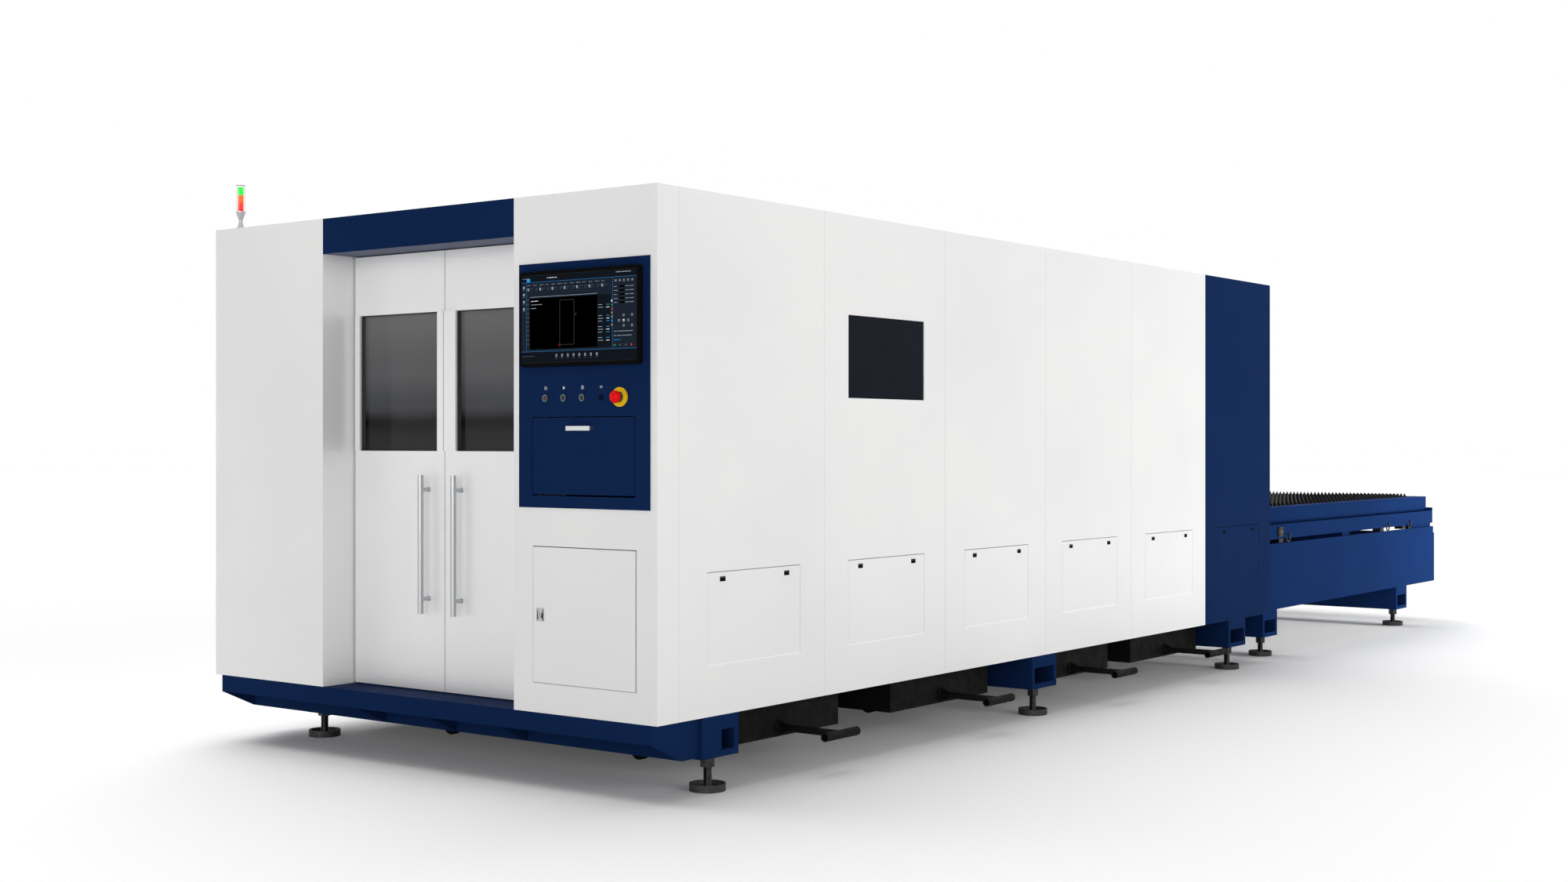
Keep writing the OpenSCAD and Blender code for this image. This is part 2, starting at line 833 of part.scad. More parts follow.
// A pull folded from flat bar: a front strap on two legs
module flap_handle() {
    size = pull_size;
    at = [control_x - size.x / 2, flap_y - size.y, flap_z + flap_h - pull_down - size.z / 2];
    color(steel) translate(at) difference() {
        cube(size);
        translate([pull_t, pull_t, -cut]) cube([size.x - 2 * pull_t, size.y, size.z + 2 * cut]);
    }
}

module keyboard() {
    size = keyboard_size;
    base_t = size.y - key_t;
    key = [size.x / key_columns, (size.z - 10) / key_rows];
    at = [control_x - size.x / 2, flap_y + flap_t, flap_z + 60];
    color(dark) translate(at) {
        cube([size.x, base_t, size.z]);
        for (i = [0:key_columns - 1], j = [0:key_rows - 1])
            translate([i * key.x + 3, base_t, j * key.y + 8]) cube([key.x - 6, key_t, key.y - 6]);
    }
}

module lower_door() {
    x = flap_w / 2;
    color(white) {
        block([control_x - x, 0, lower_door_z], [control_x + x, flap_t, lower_door_z + lower_door_h]);
        bar_along_z([control_x + x - flap_t / 2, flap_t / 2, lower_door_z - pin_reach], pin_d,
                    lower_door_h + 2 * pin_reach);
    }
}

module lower_door_lock() {
    at = [control_x - flap_w / 2 + 33, 0, lower_door_z + lower_door_h / 2];
    color(steel) {
        block(at - [15, 3, 22], at + [15, 0, 22]);
        translate([0, -6, 0]) bar_along_y(at, 16, 6);
    }
}

// A side hatch that tilts out on two pins at its lower edge, with two finger pockets near its top
module side_hatch(i) {
    y = hatch_ys[i];
    half = hatch_len / 2;
    color(i < panel_count ? white : blue) {
        difference() {
            block([half_w - hatch_t, y - half, hatch_z], [half_w, y + half, hatch_z + hatch_h]);
            for (s = [-1, 1])
                translate([half_w - 6, y + s * (half - 78) - latch_w / 2, hatch_z + hatch_h - 22 - latch_w])
                    cube([6 + cut, latch_w, latch_w]);
        }
        bar_along_y([half_w - hatch_pin_in, y - half - pin_reach, hatch_z + pin_up], pin_d,
                    hatch_len + 2 * pin_reach);
    }
}

// A wheel between two fork plates, with its axle, under a cart's floor
module cart_wheel() {
    fork_t = 6;
    gap = 2;
    r = wheel_d / 2;
    out = wheel_w / 2 + gap + fork_t;
    bar_along_y([0, -wheel_w / 2, r + hair], wheel_d, wheel_w);
    bar_along_y([0, -out, r + hair], 14, 2 * out);
    for (s = [-1, 1])
        translate([-22, s * (wheel_w / 2 + gap + fork_t / 2) - fork_t / 2, r - 12])
            cube([44, fork_t, cart_z - r + 12]);
}

module scrap_cart(i) {
    y = cart_ys[i];
    half = cart_w / 2;
    tee_x = half_w + tee_out;
    color(dark) {
        difference() {
            block([-cart_x, y - half, cart_z], [cart_x, y + half, cart_z + cart_h]);
            block([-cart_x + cart_t, y - half + cart_t, cart_z + cart_t],
                  [cart_x - cart_t, y + half - cart_t, cart_z + cart_h + cut]);
        }
        bar_along_x([cart_x - cart_t / 2, y, tee_z], tee_rod_d, tee_x - cart_x - tee_d / 2 + tee_wall);
        bar_along_x([cart_x - cart_t / 2, y, tee_z], tee_flange_d, tee_flange_t + cart_t / 2);
        difference() {
            bar_along_y([tee_x, y - tee_len / 2, tee_z], tee_d, tee_len);
            bar_along_y([tee_x, y - tee_len / 2 - cut, tee_z], tee_d - 2 * tee_wall, tee_len + 2 * cut);
        }
        for (x = [-wheel_x, wheel_x], s = [-1, 1]) translate([x, y + s * wheel_y, 0]) cart_wheel();
    }
}

module gantry_rails() {
    color(steel) both_sides()
        block([rail_x - rail_w / 2, gantry_y - gantry_len, rail_z],
              [rail_x + rail_w / 2, white_len, rail_z + rail_h]);
}

module gantry_beam() {
    end = rail_x + beam_over;
    face_y = gantry_y - beam_d / 2;
    back_y = gantry_y + beam_d / 2;
    color([0.75, 0.76, 0.78]) {
        both_sides() block([rail_x - beam_over, gantry_y - gantry_len / 2, shoe_z],
                           [end, gantry_y + gantry_len / 2, beam_z]);
        difference() {
            block([-end, face_y, beam_z], [end, back_y, beam_z + beam_h]);
            block([-end - cut, face_y + beam_wall, beam_z + beam_wall],
                  [end + cut, back_y - beam_wall, beam_z + beam_h - beam_wall]);
        }
        for (z = [beam_z + x_rail_in, beam_z + beam_h - x_rail_in])
            block([-rail_x, face_y - x_rail_t, z - x_rail_h / 2], [rail_x, face_y, z + x_rail_h / 2]);
    }
}

module head_carriage() {
    y1 = gantry_y - beam_d / 2 - x_rail_t - hair;
    z0 = beam_z - carriage_drop;
    color(steel) block([-carriage_w / 2, y1 - carriage_t, z0], [carriage_w / 2, y1, z0 + carriage_h]);
}

// The cutting head: a slim housing, a taper and a nozzle, on the carriage's face
module cutting_head() {
    y1 = gantry_y - beam_d / 2 - x_rail_t - carriage_t - 2 * hair;
    r = head_w / 2;
    body_low = nozzle_z + nozzle_h;
    top = nozzle_h + cut;
    color([0.20, 0.21, 0.23]) {
        block([-r, y1 - head_w, body_low], [r, y1, body_low + head_h]);
        translate([0, y1 - r, nozzle_z]) rotate_extrude()
            polygon([[0, 0], [6, 0], [14, 22], [24, 26], [24, top - 80], [r - 8, top - 40], [r - 8, top],
                     [0, top]]);
    }
}

// Skirts on cross tubes, with brackets that reach from the skirts to under the roller rails
module exchange_frame() {
    bracket_x0 = min(roll_x, table_x - skirt_t - bracket_h);
    bracket_x1 = max(roll_x + bracket_h, table_x - skirt_t);
    end_y = table_end - skirt_t;
    color(blue) {
        for (y = table_tube_ys)
            cross_tube(y, table_tube_w, table_tube_w - 2 * tube_wall, table_x, table_tube_z, skirt_z);
        both_sides() {
            block([table_x - skirt_t, table_y0, skirt_z], [table_x, end_y, skirt_top]);
            for (y = [table_y0 + bracket_in : bracket_pitch : table_end - corner_len - bracket_w])
                block([bracket_x0, y, skirt_top - bracket_h], [bracket_x1, y + bracket_w, roll_z]);
            block([bracket_x0, table_end - corner_len, skirt_top - bracket_h], [bracket_x1, end_y, roll_z]);
        }
        block([-table_x, end_y, skirt_z], [table_x, table_end, end_top]);
        block([-table_x, table_y0, skirt_z], [table_x, table_y0 + skirt_t, skirt_top]);
    }
}

// Channel rails that open inwards, with a lip under the pallet and a stop plate at the far end
module roller_rails() {
    color(blue) both_sides() {
        difference() {
            block([roll_x, table_y0, roll_z], [roll_out, rail_end, roll_top]);
            block([roll_x - cut, table_y0 - cut, roll_z + roll_wall],
                  [roll_out - roll_wall, rail_end - roll_wall, roll_top - roll_wall]);
        }
        block([roll_x, table_y0, roll_top], [roll_x + roll_wall, rail_end, pallet_z - lip_gap]);
        block([roll_x, rail_end - roll_wall, roll_top], [roll_out, rail_end, roll_top + stop_h]);
    }
}

// Carrying rollers on stub axles that stand in the open side of the rails
module table_rollers() {
    color(steel) both_sides() for (i = [0:roller_count - 1]) {
        at = [roller_x, table_y0 + roller_head + i * roller_pitch, roller_z];
        bar_along_x(at, roller_d, roller_w);
        bar_along_x(at, axle_d, roll_out - roll_wall - roller_x);
    }
}

// J-shaped hooks on stubs at the outer face of the roller rails, clear of the skirts, and beside each
// a clamp block under the rail
module transport_hooks() {
    ring_z = roll_z + hook_d;
    out = 1.5 * hook_d + max(0, table_x - roll_out);
    color(steel) both_sides() for (y = hook_ys) translate([roll_out, y, ring_z]) {
        bar_along_x([0, 0, hook_drop], hook_d, out);
        bar_along_z([out - hook_d / 2, 0, 0], hook_d, hook_drop + hook_d / 2);
        translate([out - hook_d / 2, -hook_r, 0]) rotate([-90, 0, 90]) rotate_extrude(angle = 180)
            translate([hook_r, 0]) circle(d = hook_d);
        translate([-roll_w, -hook_block_back, -hook_d] - [0, hook_block.y, hook_block.z]) cube(hook_block);
    }
}

module pallet_frame() {
    mid = [pallet_w - 2 * pallet_rim, pallet_len - pallet_head - pallet_tail];
    color(blue) translate([-pallet_w / 2, pallet_y0, pallet_z]) linear_extrude(pallet_h) difference() {
        rounded_rect([pallet_w, pallet_len], pallet_r);
        translate([pallet_rim, pallet_head]) square(mid);
    }
}

// One saw-toothed slat: its teeth run along X
module slat() {
    teeth = floor(2 * slat_x / tooth_w);
    step = 2 * slat_x / teeth;
    tip = pallet_h + tip_rise;
    edge = [for (i = [0:2 * teeth]) [-slat_x + i * step / 2, i % 2 == 0 ? tip - tooth_h : tip]];
    foot = [[slat_x, slat_lift], [-slat_x, slat_lift]];
    rotate([90, 0, 0]) linear_extrude(slat_t) polygon(concat(foot, edge));
}

module pallet_slats() {
    first = pallet_y0 + pallet_head + slat_in;
    last = pallet_y1 - pallet_tail - slat_in;
    step = (last - first) / (slat_count - 1);
    color(dark) for (i = [0:slat_count - 1]) translate([0, first + i * step, pallet_z]) slat();
}

// A turned neck: a flange, a cone down to the waist and a cone up to the cover
module tower_neck() {
    r = tower_d / 2;
    waist = tower_waist_d / 2;
    color(white) translate([tower_x, tower_y, body_top]) rotate_extrude()
        polygon([[0, 0], [tower_flange_d / 2, 0], [tower_flange_d / 2, 5], [r - 5, 8], [waist, 0.45 * neck_h],
                 [waist, 0.5 * neck_h], [r, neck_h - 3], [r, neck_h], [0, neck_h]]);
}

module tower_lenses() {
    colours = [[0.9, 0.1, 0.1], [1, 0.4, 0], [0.1, 0.85, 0.25]];
    for (i = [0:2]) color(colours[i])
        bar_along_z([tower_x, tower_y, body_top + neck_h + i * lens_h], lens_d, lens_h - hair);
}

// The clear cover: a tube closed at its top
module tower_cover() {
    r = tower_d / 2;
    h = 3 * lens_h + tower_top;
    color([0.9, 0.9, 0.9, 0.3]) translate([tower_x, tower_y, body_top + neck_h]) rotate_extrude()
        polygon([[r - tower_wall, 0], [r, 0], [r, h - 2], [r - 2, h], [0, h], [0, h - 3],
                 [r - tower_wall, h - 3]]);
}

placed() bed_frame();
placed() front_step();
placed() foot_pads();
placed() foot_stems();
placed() foot_nuts();
placed() left_front_column();
placed() right_front_column();
placed() front_header();
placed() right_side_panels();
placed() left_side_panels();
placed() roof_panels();
placed() rear_module();
placed() door_pivot_pins();
placed() left_door();
placed() left_door_glass();
placed() left_door_handle();
placed() right_door();
placed() right_door_glass();
placed() right_door_handle();
placed() control_panel();
placed() monitor_bezel();
placed() monitor_screen();
placed() button_rings();
placed() usb_port();
placed() stop_ring();
placed() power_button();
placed() start_button();
placed() lamp_button();
placed() stop_button();
placed() keyboard_flap();
placed() flap_handle();
placed() keyboard();
placed() lower_door();
placed() lower_door_lock();
placed() side_window_glass();
placed() side_hatch(0);  // side_hatch_1
placed() side_hatch(1);  // side_hatch_2
placed() side_hatch(2);  // side_hatch_3
placed() side_hatch(3);  // side_hatch_4
placed() side_hatch(4);  // side_hatch_5
placed() side_hatch(5);  // side_hatch_6
placed() scrap_cart(0);  // scrap_cart_1
placed() scrap_cart(1);  // scrap_cart_2
placed() scrap_cart(2);  // scrap_cart_3
placed() scrap_cart(3);  // scrap_cart_4
placed() gantry_rails();
placed() gantry_beam();
placed() head_carriage();
placed() cutting_head();
placed() exchange_frame();
placed() roller_rails();
placed() table_rollers();
placed() transport_hooks();
placed() pallet_frame();
placed() pallet_slats();
placed() tower_neck();
placed() tower_lenses();
placed() tower_cover();
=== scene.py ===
# %% [markdown]
# # A fiber laser cutting machine, dressed for the studio
# The imported CAD model is the frame: every piece below is placed in its metres and rides on one of its
# bodies. This first cell loads it.

# %% Load the frame
import bmesh
import bpy
import math
from mathutils import Matrix, Vector


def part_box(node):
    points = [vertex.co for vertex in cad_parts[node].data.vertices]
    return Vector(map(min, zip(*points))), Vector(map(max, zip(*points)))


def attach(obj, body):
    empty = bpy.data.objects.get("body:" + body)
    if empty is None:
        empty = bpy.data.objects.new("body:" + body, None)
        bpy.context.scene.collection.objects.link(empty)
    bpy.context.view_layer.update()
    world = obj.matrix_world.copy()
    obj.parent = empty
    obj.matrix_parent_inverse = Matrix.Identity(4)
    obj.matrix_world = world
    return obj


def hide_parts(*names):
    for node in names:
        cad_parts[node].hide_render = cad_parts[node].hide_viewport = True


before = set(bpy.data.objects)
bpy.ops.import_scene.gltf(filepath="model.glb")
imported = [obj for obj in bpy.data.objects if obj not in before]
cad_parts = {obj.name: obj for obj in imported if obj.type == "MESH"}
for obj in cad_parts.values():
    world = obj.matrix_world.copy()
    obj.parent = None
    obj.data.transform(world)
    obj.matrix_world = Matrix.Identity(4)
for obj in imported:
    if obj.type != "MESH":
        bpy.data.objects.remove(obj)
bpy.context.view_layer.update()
scene = bpy.context.scene
scene.view_settings.view_transform = "Standard"

# %% [markdown]
# ## The drawing's own coordinates
# The machine was drawn in millimetres, with x = 0 in the middle of the front, y = 0 on the front
# face and the floor at z = 0. The header's box gives that origin back, so the trim can be placed with
# the numbers that one would measure on the machine.

# %% From millimetres on the drawing to the frame
MM = 0.001
header_lo, header_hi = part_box("front_header")
ORIGIN = Vector(((header_lo.x + header_hi.x) / 2, header_lo.y, 0))


def at(x, y, z):
    """A point of the drawing, in the frame's metres."""
    return ORIGIN + Vector((x, y, z)) * MM


def drawn(node):
    """The box of a CAD node in millimetres on the drawing."""
    return [(corner - ORIGIN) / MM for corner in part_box(node)]


print("origin", tuple(round(v, 4) for v in ORIGIN))

# %% [markdown]
# ## The camera
# The picture was taken from the front right corner at chest height, level, so upright edges stay
# upright. The angle and the distance were worked out from the corners of the enclosure. A lens of
# 43 mm on a 36 mm sensor gives the same narrowing of the long side.

# %% Camera
EYE = at(5106, -4606.5, 1178)
HEADING = math.radians(36.84)
LENS = 43.27

camera = bpy.data.objects.new("studio_camera", bpy.data.cameras.new("studio_camera"))
scene.collection.objects.link(camera)
camera.location = EYE
camera.rotation_euler = (math.pi / 2, 0, HEADING)
camera.data.lens = LENS
camera.data.sensor_width = 36
camera.data.sensor_fit = "HORIZONTAL"
camera.data.clip_end = 200
scene.camera = camera
print("camera at", tuple(round(v, 3) for v in EYE))

# %% [markdown]
# ## Node helper and colours
# Materials are node trees. One function adds a node, sets its options and fills its sockets: a
# socket that is handed another node's output is linked, any other value is set on it. Every finish
# starts with its shader, and `feed` links the patterns to it at the end. Colours are written as sRGB hex,
# as in a paint chart, and turned to the linear values that Blender works in.

# %% Helpers for materials
def linear(code):
    """An sRGB hex code as linear red, green, blue and alpha."""
    parts = [int(code[i:i + 2], 16) / 255 for i in (1, 3, 5)]
    return tuple(c / 12.92 if c <= 0.04045 else ((c + 0.055) / 1.055) ** 2.4 for c in parts) + (1.0,)


def add_node(tree, kind, inputs=None, **settings):
    made = tree.nodes.new(kind)
    for name, value in settings.items():
        setattr(made, name, value)
    for key, value in (inputs or {}).items():
        if isinstance(value, bpy.types.NodeSocket):
            tree.links.new(value, made.inputs[key])
        else:
            made.inputs[key].default_value = value
    return made


def feed(tree, shader, sources):
    """Links outputs of other nodes to the shader's sockets."""
    for name, source in sources.items():
        tree.links.new(source, shader.inputs[name])


def new_finish(name, sockets):
    """A material with its node tree, its shader and the frame's coordinates in metres."""
    finish = bpy.data.materials.new(name)
    finish.use_nodes = True
    tree = finish.node_tree
    tree.nodes.clear()
    shader = add_node(tree, "ShaderNodeBsdfPrincipled", sockets)
    add_node(tree, "ShaderNodeOutputMaterial", {"Surface": shader.outputs[0]})
    place = add_node(tree, "ShaderNodeTexCoord").outputs["Object"]
    return finish, tree, shader, place


def per_metre(millimetres):
    """Scale of a texture whose pattern repeats after this many millimetres."""
    return 1000 / millimetres


print("white is", linear("#ffffff"))

# %% [markdown]
# ## Light and floor
# Soft light, as for a catalogue picture: a very wide lamp high on the left and a little behind gives the
# floor its soft shadow to the front and right, two weak wide ones fill the front and the long side, and two
# soft panels stand off the far end, where the machine is brightest. Only the front lamp shows in
# reflections: it is the bright line on the bar handles. The world gives the rest. Its strength is plain for
# the light that falls on the machine, and 1 where the camera, a reflection or a pane looks at it, so that
# the background is white without more light on the object.

# %% World and lamps
AMBIENT = 0.22

world = bpy.data.worlds.new("studio_world")
scene.world = world
world.use_nodes = True
tree = world.node_tree
tree.nodes.clear()
rays = add_node(tree, "ShaderNodeLightPath").outputs
seen = add_node(tree, "ShaderNodeMath", {0: rays["Is Camera Ray"], 1: rays["Is Glossy Ray"]},
                operation="MAXIMUM")
seen = add_node(tree, "ShaderNodeMath", {0: seen.outputs[0], 1: rays["Is Transmission Ray"]},
                operation="MAXIMUM")
level = add_node(tree, "ShaderNodeMath", {0: seen.outputs[0], 1: 1 - AMBIENT, 2: AMBIENT},
                 operation="MULTIPLY_ADD")
sky = add_node(tree, "ShaderNodeBackground", {"Color": (1, 1, 1, 1), "Strength": level.outputs[0]})
add_node(tree, "ShaderNodeOutputWorld", {"Surface": sky.outputs[0]})


def lamp(name, kind, place, target, strength, spread, mirrored=False):
    """A lamp that looks from place to target; spread is a sun's angle in degrees or a panel's side."""
    light = bpy.data.lights.new(name, kind)
    light.energy = strength
    if kind == "SUN":
        light.angle = math.radians(spread)
    else:
        light.shape = "SQUARE"
        light.size = spread
    made = bpy.data.objects.new(name, light)
    made.location = place
    made.rotation_euler = (target - place).to_track_quat("-Z", "Y").to_euler()
    scene.collection.objects.link(made)
    made.visible_camera = False
    made.visible_glossy = mirrored


MIDDLE = at(0, 2500, 1100)
lamp("overhead_light", "SUN", MIDDLE + Vector((-4.2, 2.2, 8)), MIDDLE, 2.65, 70)
lamp("front_fill", "SUN", MIDDLE + Vector((2.6, -8, 0.9)), MIDDLE, 0.99, 40, mirrored=True)
lamp("side_fill", "SUN", MIDDLE + Vector((8, -0.5, 1.6)), MIDDLE, 1.13, 40)
lamp("far_end_panel", "AREA", at(5500, 9800, 450), at(1045, 7600, 500), 180, 0.8)
lamp("table_end_panel", "AREA", at(2700, 8700, 420), at(1045, 7700, 460), 20, 0.6)

# %% [markdown]
# The floor is a pale sheet. It is lifted a little for the camera so that it runs into the white
# background, and it still takes the machine's shadow.

# %% Floor
FLOOR_LIFT = 0.06
FLOOR_HALF = 60

floor_finish, tree, shader, place = new_finish(
    "studio_floor_paint", {"Base Color": linear("#f4f4f4"), "Roughness": 0.9, "Specular IOR Level": 0.0})
rays = add_node(tree, "ShaderNodeLightPath").outputs
lift = add_node(tree, "ShaderNodeMath", {0: rays["Is Camera Ray"], 1: FLOOR_LIFT}, operation="MULTIPLY")
shader.inputs["Emission Color"].default_value = (1, 1, 1, 1)
feed(tree, shader, {"Emission Strength": lift.outputs[0]})
grid = bmesh.new()
bmesh.ops.create_grid(grid, x_segments=1, y_segments=1, size=FLOOR_HALF)
floor_mesh = bpy.data.meshes.new("studio_floor")
grid.to_mesh(floor_mesh)
grid.free()
floor_mesh.materials.append(floor_finish)
floor = bpy.data.objects.new("studio_floor", floor_mesh)
scene.collection.objects.link(floor)
print("floor lift", FLOOR_LIFT)

# %% [markdown]
# ## Powder coat
# The sheet-steel skin is powder coated: the powder melts to an even, faintly rippled film, the so
# called orange peel, about 1 to 2 mm from crest to crest. That is too fine for a picture of an eight
# metre machine, so the ripple is drawn 14 mm wide. Slow drifts in shade and gloss come from the
# thickness of the film and from handling. White and blue share the film and differ in colour.

# %% White and blue powder coat
PEEL = 14
DRIFT = 900
SMEAR = 160


def powder_coat(name, light, dark, gloss, sockets):
    """A film with a fine ripple, whose shade and gloss drift slowly."""
    finish, tree, shader, place = new_finish(name, sockets)
    drift = add_node(tree, "ShaderNodeTexNoise", {"Vector": place, "Scale": per_metre(DRIFT), "Detail": 3})
    shade = add_node(tree, "ShaderNodeMapRange", {"Value": drift.outputs["Fac"], "From Min": 0.35,
                                                  "From Max": 0.65})
    colour = add_node(tree, "ShaderNodeMix", {0: shade.outputs[0], 6: linear(light), 7: linear(dark)},
                      data_type="RGBA")
    smear = add_node(tree, "ShaderNodeTexNoise", {"Vector": place, "Scale": per_metre(SMEAR), "Detail": 6,
                                                  "Roughness": 0.6})
    rough = add_node(tree, "ShaderNodeMapRange", {"Value": smear.outputs["Fac"], "From Min": 0.3,
                                                  "From Max": 0.7, "To Min": gloss[0], "To Max": gloss[1]})
    peel = add_node(tree, "ShaderNodeTexNoise", {"Vector": place, "Scale": per_metre(PEEL), "Detail": 2})
    bump = add_node(tree, "ShaderNodeBump", {"Height": peel.outputs["Fac"], "Strength": 0.05,
                                             "Distance": 0.001})
    feed(tree, shader, {"Base Color": colour.outputs[2], "Roughness": rough.outputs[0],
                        "Normal": bump.outputs[0]})
    return finish


# pearl white: mica flakes in the film throw back broad, soft mirror images, so it is a little metallic
white_paint = powder_coat("pearl_white_powder_coat", "#e9e9e8", "#e4e4e4", (0.30, 0.38),
                          {"IOR": 1.5, "Metallic": 0.2, "Specular IOR Level": 0.4})
# painted light: the doors hang in the shade of the doorway, so their coat is drawn whiter than the skin's to
# make up for that shade
door_lightened_coat = powder_coat("door_coat_painted_light", "#f2f2f1", "#ededed", (0.30, 0.38),
                         {"IOR": 1.5, "Metallic": 0.2, "Specular IOR Level": 0.4})
# deep blue film: most of the light is swallowed, so little but the colour comes back
blue_paint = powder_coat("blue_powder_coat", "#12284f", "#10254a", (0.32, 0.42),
                         {"IOR": 1.5, "Specular IOR Level": 0.002})
# painted reflection: the header's underside is drawn a pale grey blue for the white doors below that it
# mirrors
header_underside_reflection = powder_coat("underside_painted_reflection", "#5f6478", "#585d70", (0.5, 0.6),
                            {"IOR": 1.5, "Specular IOR Level": 0.05})
# painted light: the table's blue is the same film drawn brighter, for the stronger light at the far end
table_lit_blue = powder_coat("blue_coat_painted_light", "#142d5a", "#132a54", (0.36, 0.46),
                         {"IOR": 1.5, "Specular IOR Level": 0.001})
print(white_paint.name, blue_paint.name, table_lit_blue.name)

# %% [markdown]
# ## Black paint, cast iron, steel and aluminium
# The scrap carts are sprayed matt black and get scuffed, the feet stand on rough cast pads, and the
# stems, nuts, rollers and hooks are blackened steel with a satin shine. A metal reflects with its own
# colour, so the dark ones are metallic with a dark base.

# %% Paint, iron and metals
def mottled(name, light, dark, grain, gloss, depth, sockets):
    """A finish with one grain that varies its shade, its gloss and its surface together."""
    finish, tree, shader, place = new_finish(name, sockets)
    noise = add_node(tree, "ShaderNodeTexNoise", {"Vector": place, "Scale": per_metre(grain), "Detail": 5,
                                                  "Roughness": 0.65})
    spread = add_node(tree, "ShaderNodeMapRange", {"Value": noise.outputs["Fac"], "From Min": 0.3,
                                                   "From Max": 0.7})
    colour = add_node(tree, "ShaderNodeMix", {0: spread.outputs[0], 6: linear(light), 7: linear(dark)},
                      data_type="RGBA")
    rough = add_node(tree, "ShaderNodeMapRange", {"Value": spread.outputs[0], "To Min": gloss[0],
                                                  "To Max": gloss[1]})
    bump = add_node(tree, "ShaderNodeBump", {"Height": noise.outputs["Fac"], "Strength": depth,
                                             "Distance": 0.001})
    feed(tree, shader, {"Base Color": colour.outputs[2], "Roughness": rough.outputs[0],
                        "Normal": bump.outputs[0]})
    return finish


# sprayed enamel, scuffed by scrap: matt and almost without reflection
black_paint = mottled("matt_black_enamel", "#1b1b1c", "#111112", 45, (0.55, 0.75), 0.15,
                      {"IOR": 1.5, "Specular IOR Level": 0.06})
# sand-cast iron, painted thinly: pitted, the highlights break up
cast_iron = mottled("cast_iron", "#4c4c4d", "#363637", 9, (0.45, 0.7), 0.5,
                    {"Metallic": 0.7})
# hot-blacked steel: dark, satin, keeps a soft highlight along edges
black_steel = mottled("blackened_steel", "#4a4b4d", "#343536", 14, (0.28, 0.42), 0.15, {"Metallic": 1.0})
# machined aluminium of the beam: bright, even, fine tool marks
aluminium = mottled("machined_aluminium", "#c9cbcd", "#b4b6b9", 30, (0.28, 0.4), 0.1, {"Metallic": 1.0})
print("paint, iron and metals ready")

# %% [markdown]
# ## Moulded plastic, rubber and foam
# The latches, the monitor's bezel and the port are moulded ABS with a fine grain from the mould. Seals
# are EPDM rubber, which goes grey with age, or soft foam, which is as pale as the skin. All of them are
# dull, so each is a mottled shade that hardly reflects. Their real grain is well under a millimetre, so
# it is drawn 3 to 6 mm wide to show at all.

# %% Plastics, rubbers and foams
# injection-moulded ABS with a spark-eroded grain: dull black, no colour in its highlight
black_plastic = mottled("moulded_abs", "#101011", "#0a0b0c", 3, (0.42, 0.55), 0.2,
                        {"IOR": 1.54, "Specular IOR Level": 0.005})
# the same plastic in a lighter grey: the stop's collar has this grey, and on the latch paddles it is a
# painted highlight along the latch's upper edge
grey_plastic_paddle_highlight = mottled("grey_abs_paddle_highlight", "#4e4f50", "#404142", 3, (0.35, 0.5), 0.2,
                       {"IOR": 1.54, "Specular IOR Level": 0.02})
# dust lip of the blue hatch: black rubber, its black a painted shade along the upper gap, nearly lost in the
# blue
black_lip_painted_shade = mottled("rubber_black_painted_shade", "#060a14", "#04070e", 6, (0.7, 0.85), 0.2,
                      {"IOR": 1.5, "Specular IOR Level": 0.02})
# EPDM seal: grey from talc and light, duller than the plastic
rubber = mottled("epdm_rubber", "#454647", "#38393a", 6, (0.7, 0.85), 0.2,
                 {"IOR": 1.5, "Specular IOR Level": 0.25})
# foam gasket in the joints of the white skin: pale, soft, catches the shade of the gap
pale_gasket = mottled("pale_foam_gasket", "#e8e8e7", "#dededd", 5, (0.8, 0.95), 0.2,
                      {"IOR": 1.45, "Specular IOR Level": 0.1})
# dust lip along the top of a hatch: grey rubber, its grey a painted shade along the upper gap; the same grey
# strip sits where the door leaves meet
lip_painted_shade = mottled("rubber_grey_painted_shade", "#97989a", "#8a8b8d", 6, (0.7, 0.85), 0.2,
                   {"IOR": 1.5, "Specular IOR Level": 0.05})
# foam along the foot of a cover, drawn whiter than the skin as painted light where light falls in: the palest
# line of the skin
foot_gasket_painted_light = mottled("foam_gasket_painted_light", "#fafafa", "#f2f2f2", 5, (0.8, 0.95), 0.2,
                       {"IOR": 1.45, "Specular IOR Level": 0.1})
# the same foam in a mid grey, round the service door
grey_gasket = mottled("grey_foam_gasket", "#bcbdbe", "#b0b1b2", 5, (0.8, 0.95), 0.2,
                      {"IOR": 1.45, "Specular IOR Level": 0.1})
print("plastics and seals ready")

# %% [markdown]
# ## Brushed stainless steel
# The bar handles, the flap's pull and the button bezels are brushed along their length. Brushing is
# drawn with a noise that is stretched along the bar: tight across it, long along it. Real scratches
# are a tenth of a millimetre, so they are drawn about 1.5 mm wide to show at all.

# %% Brushed steel
SCRATCH = 1.5
SCRATCH_LEN = 120


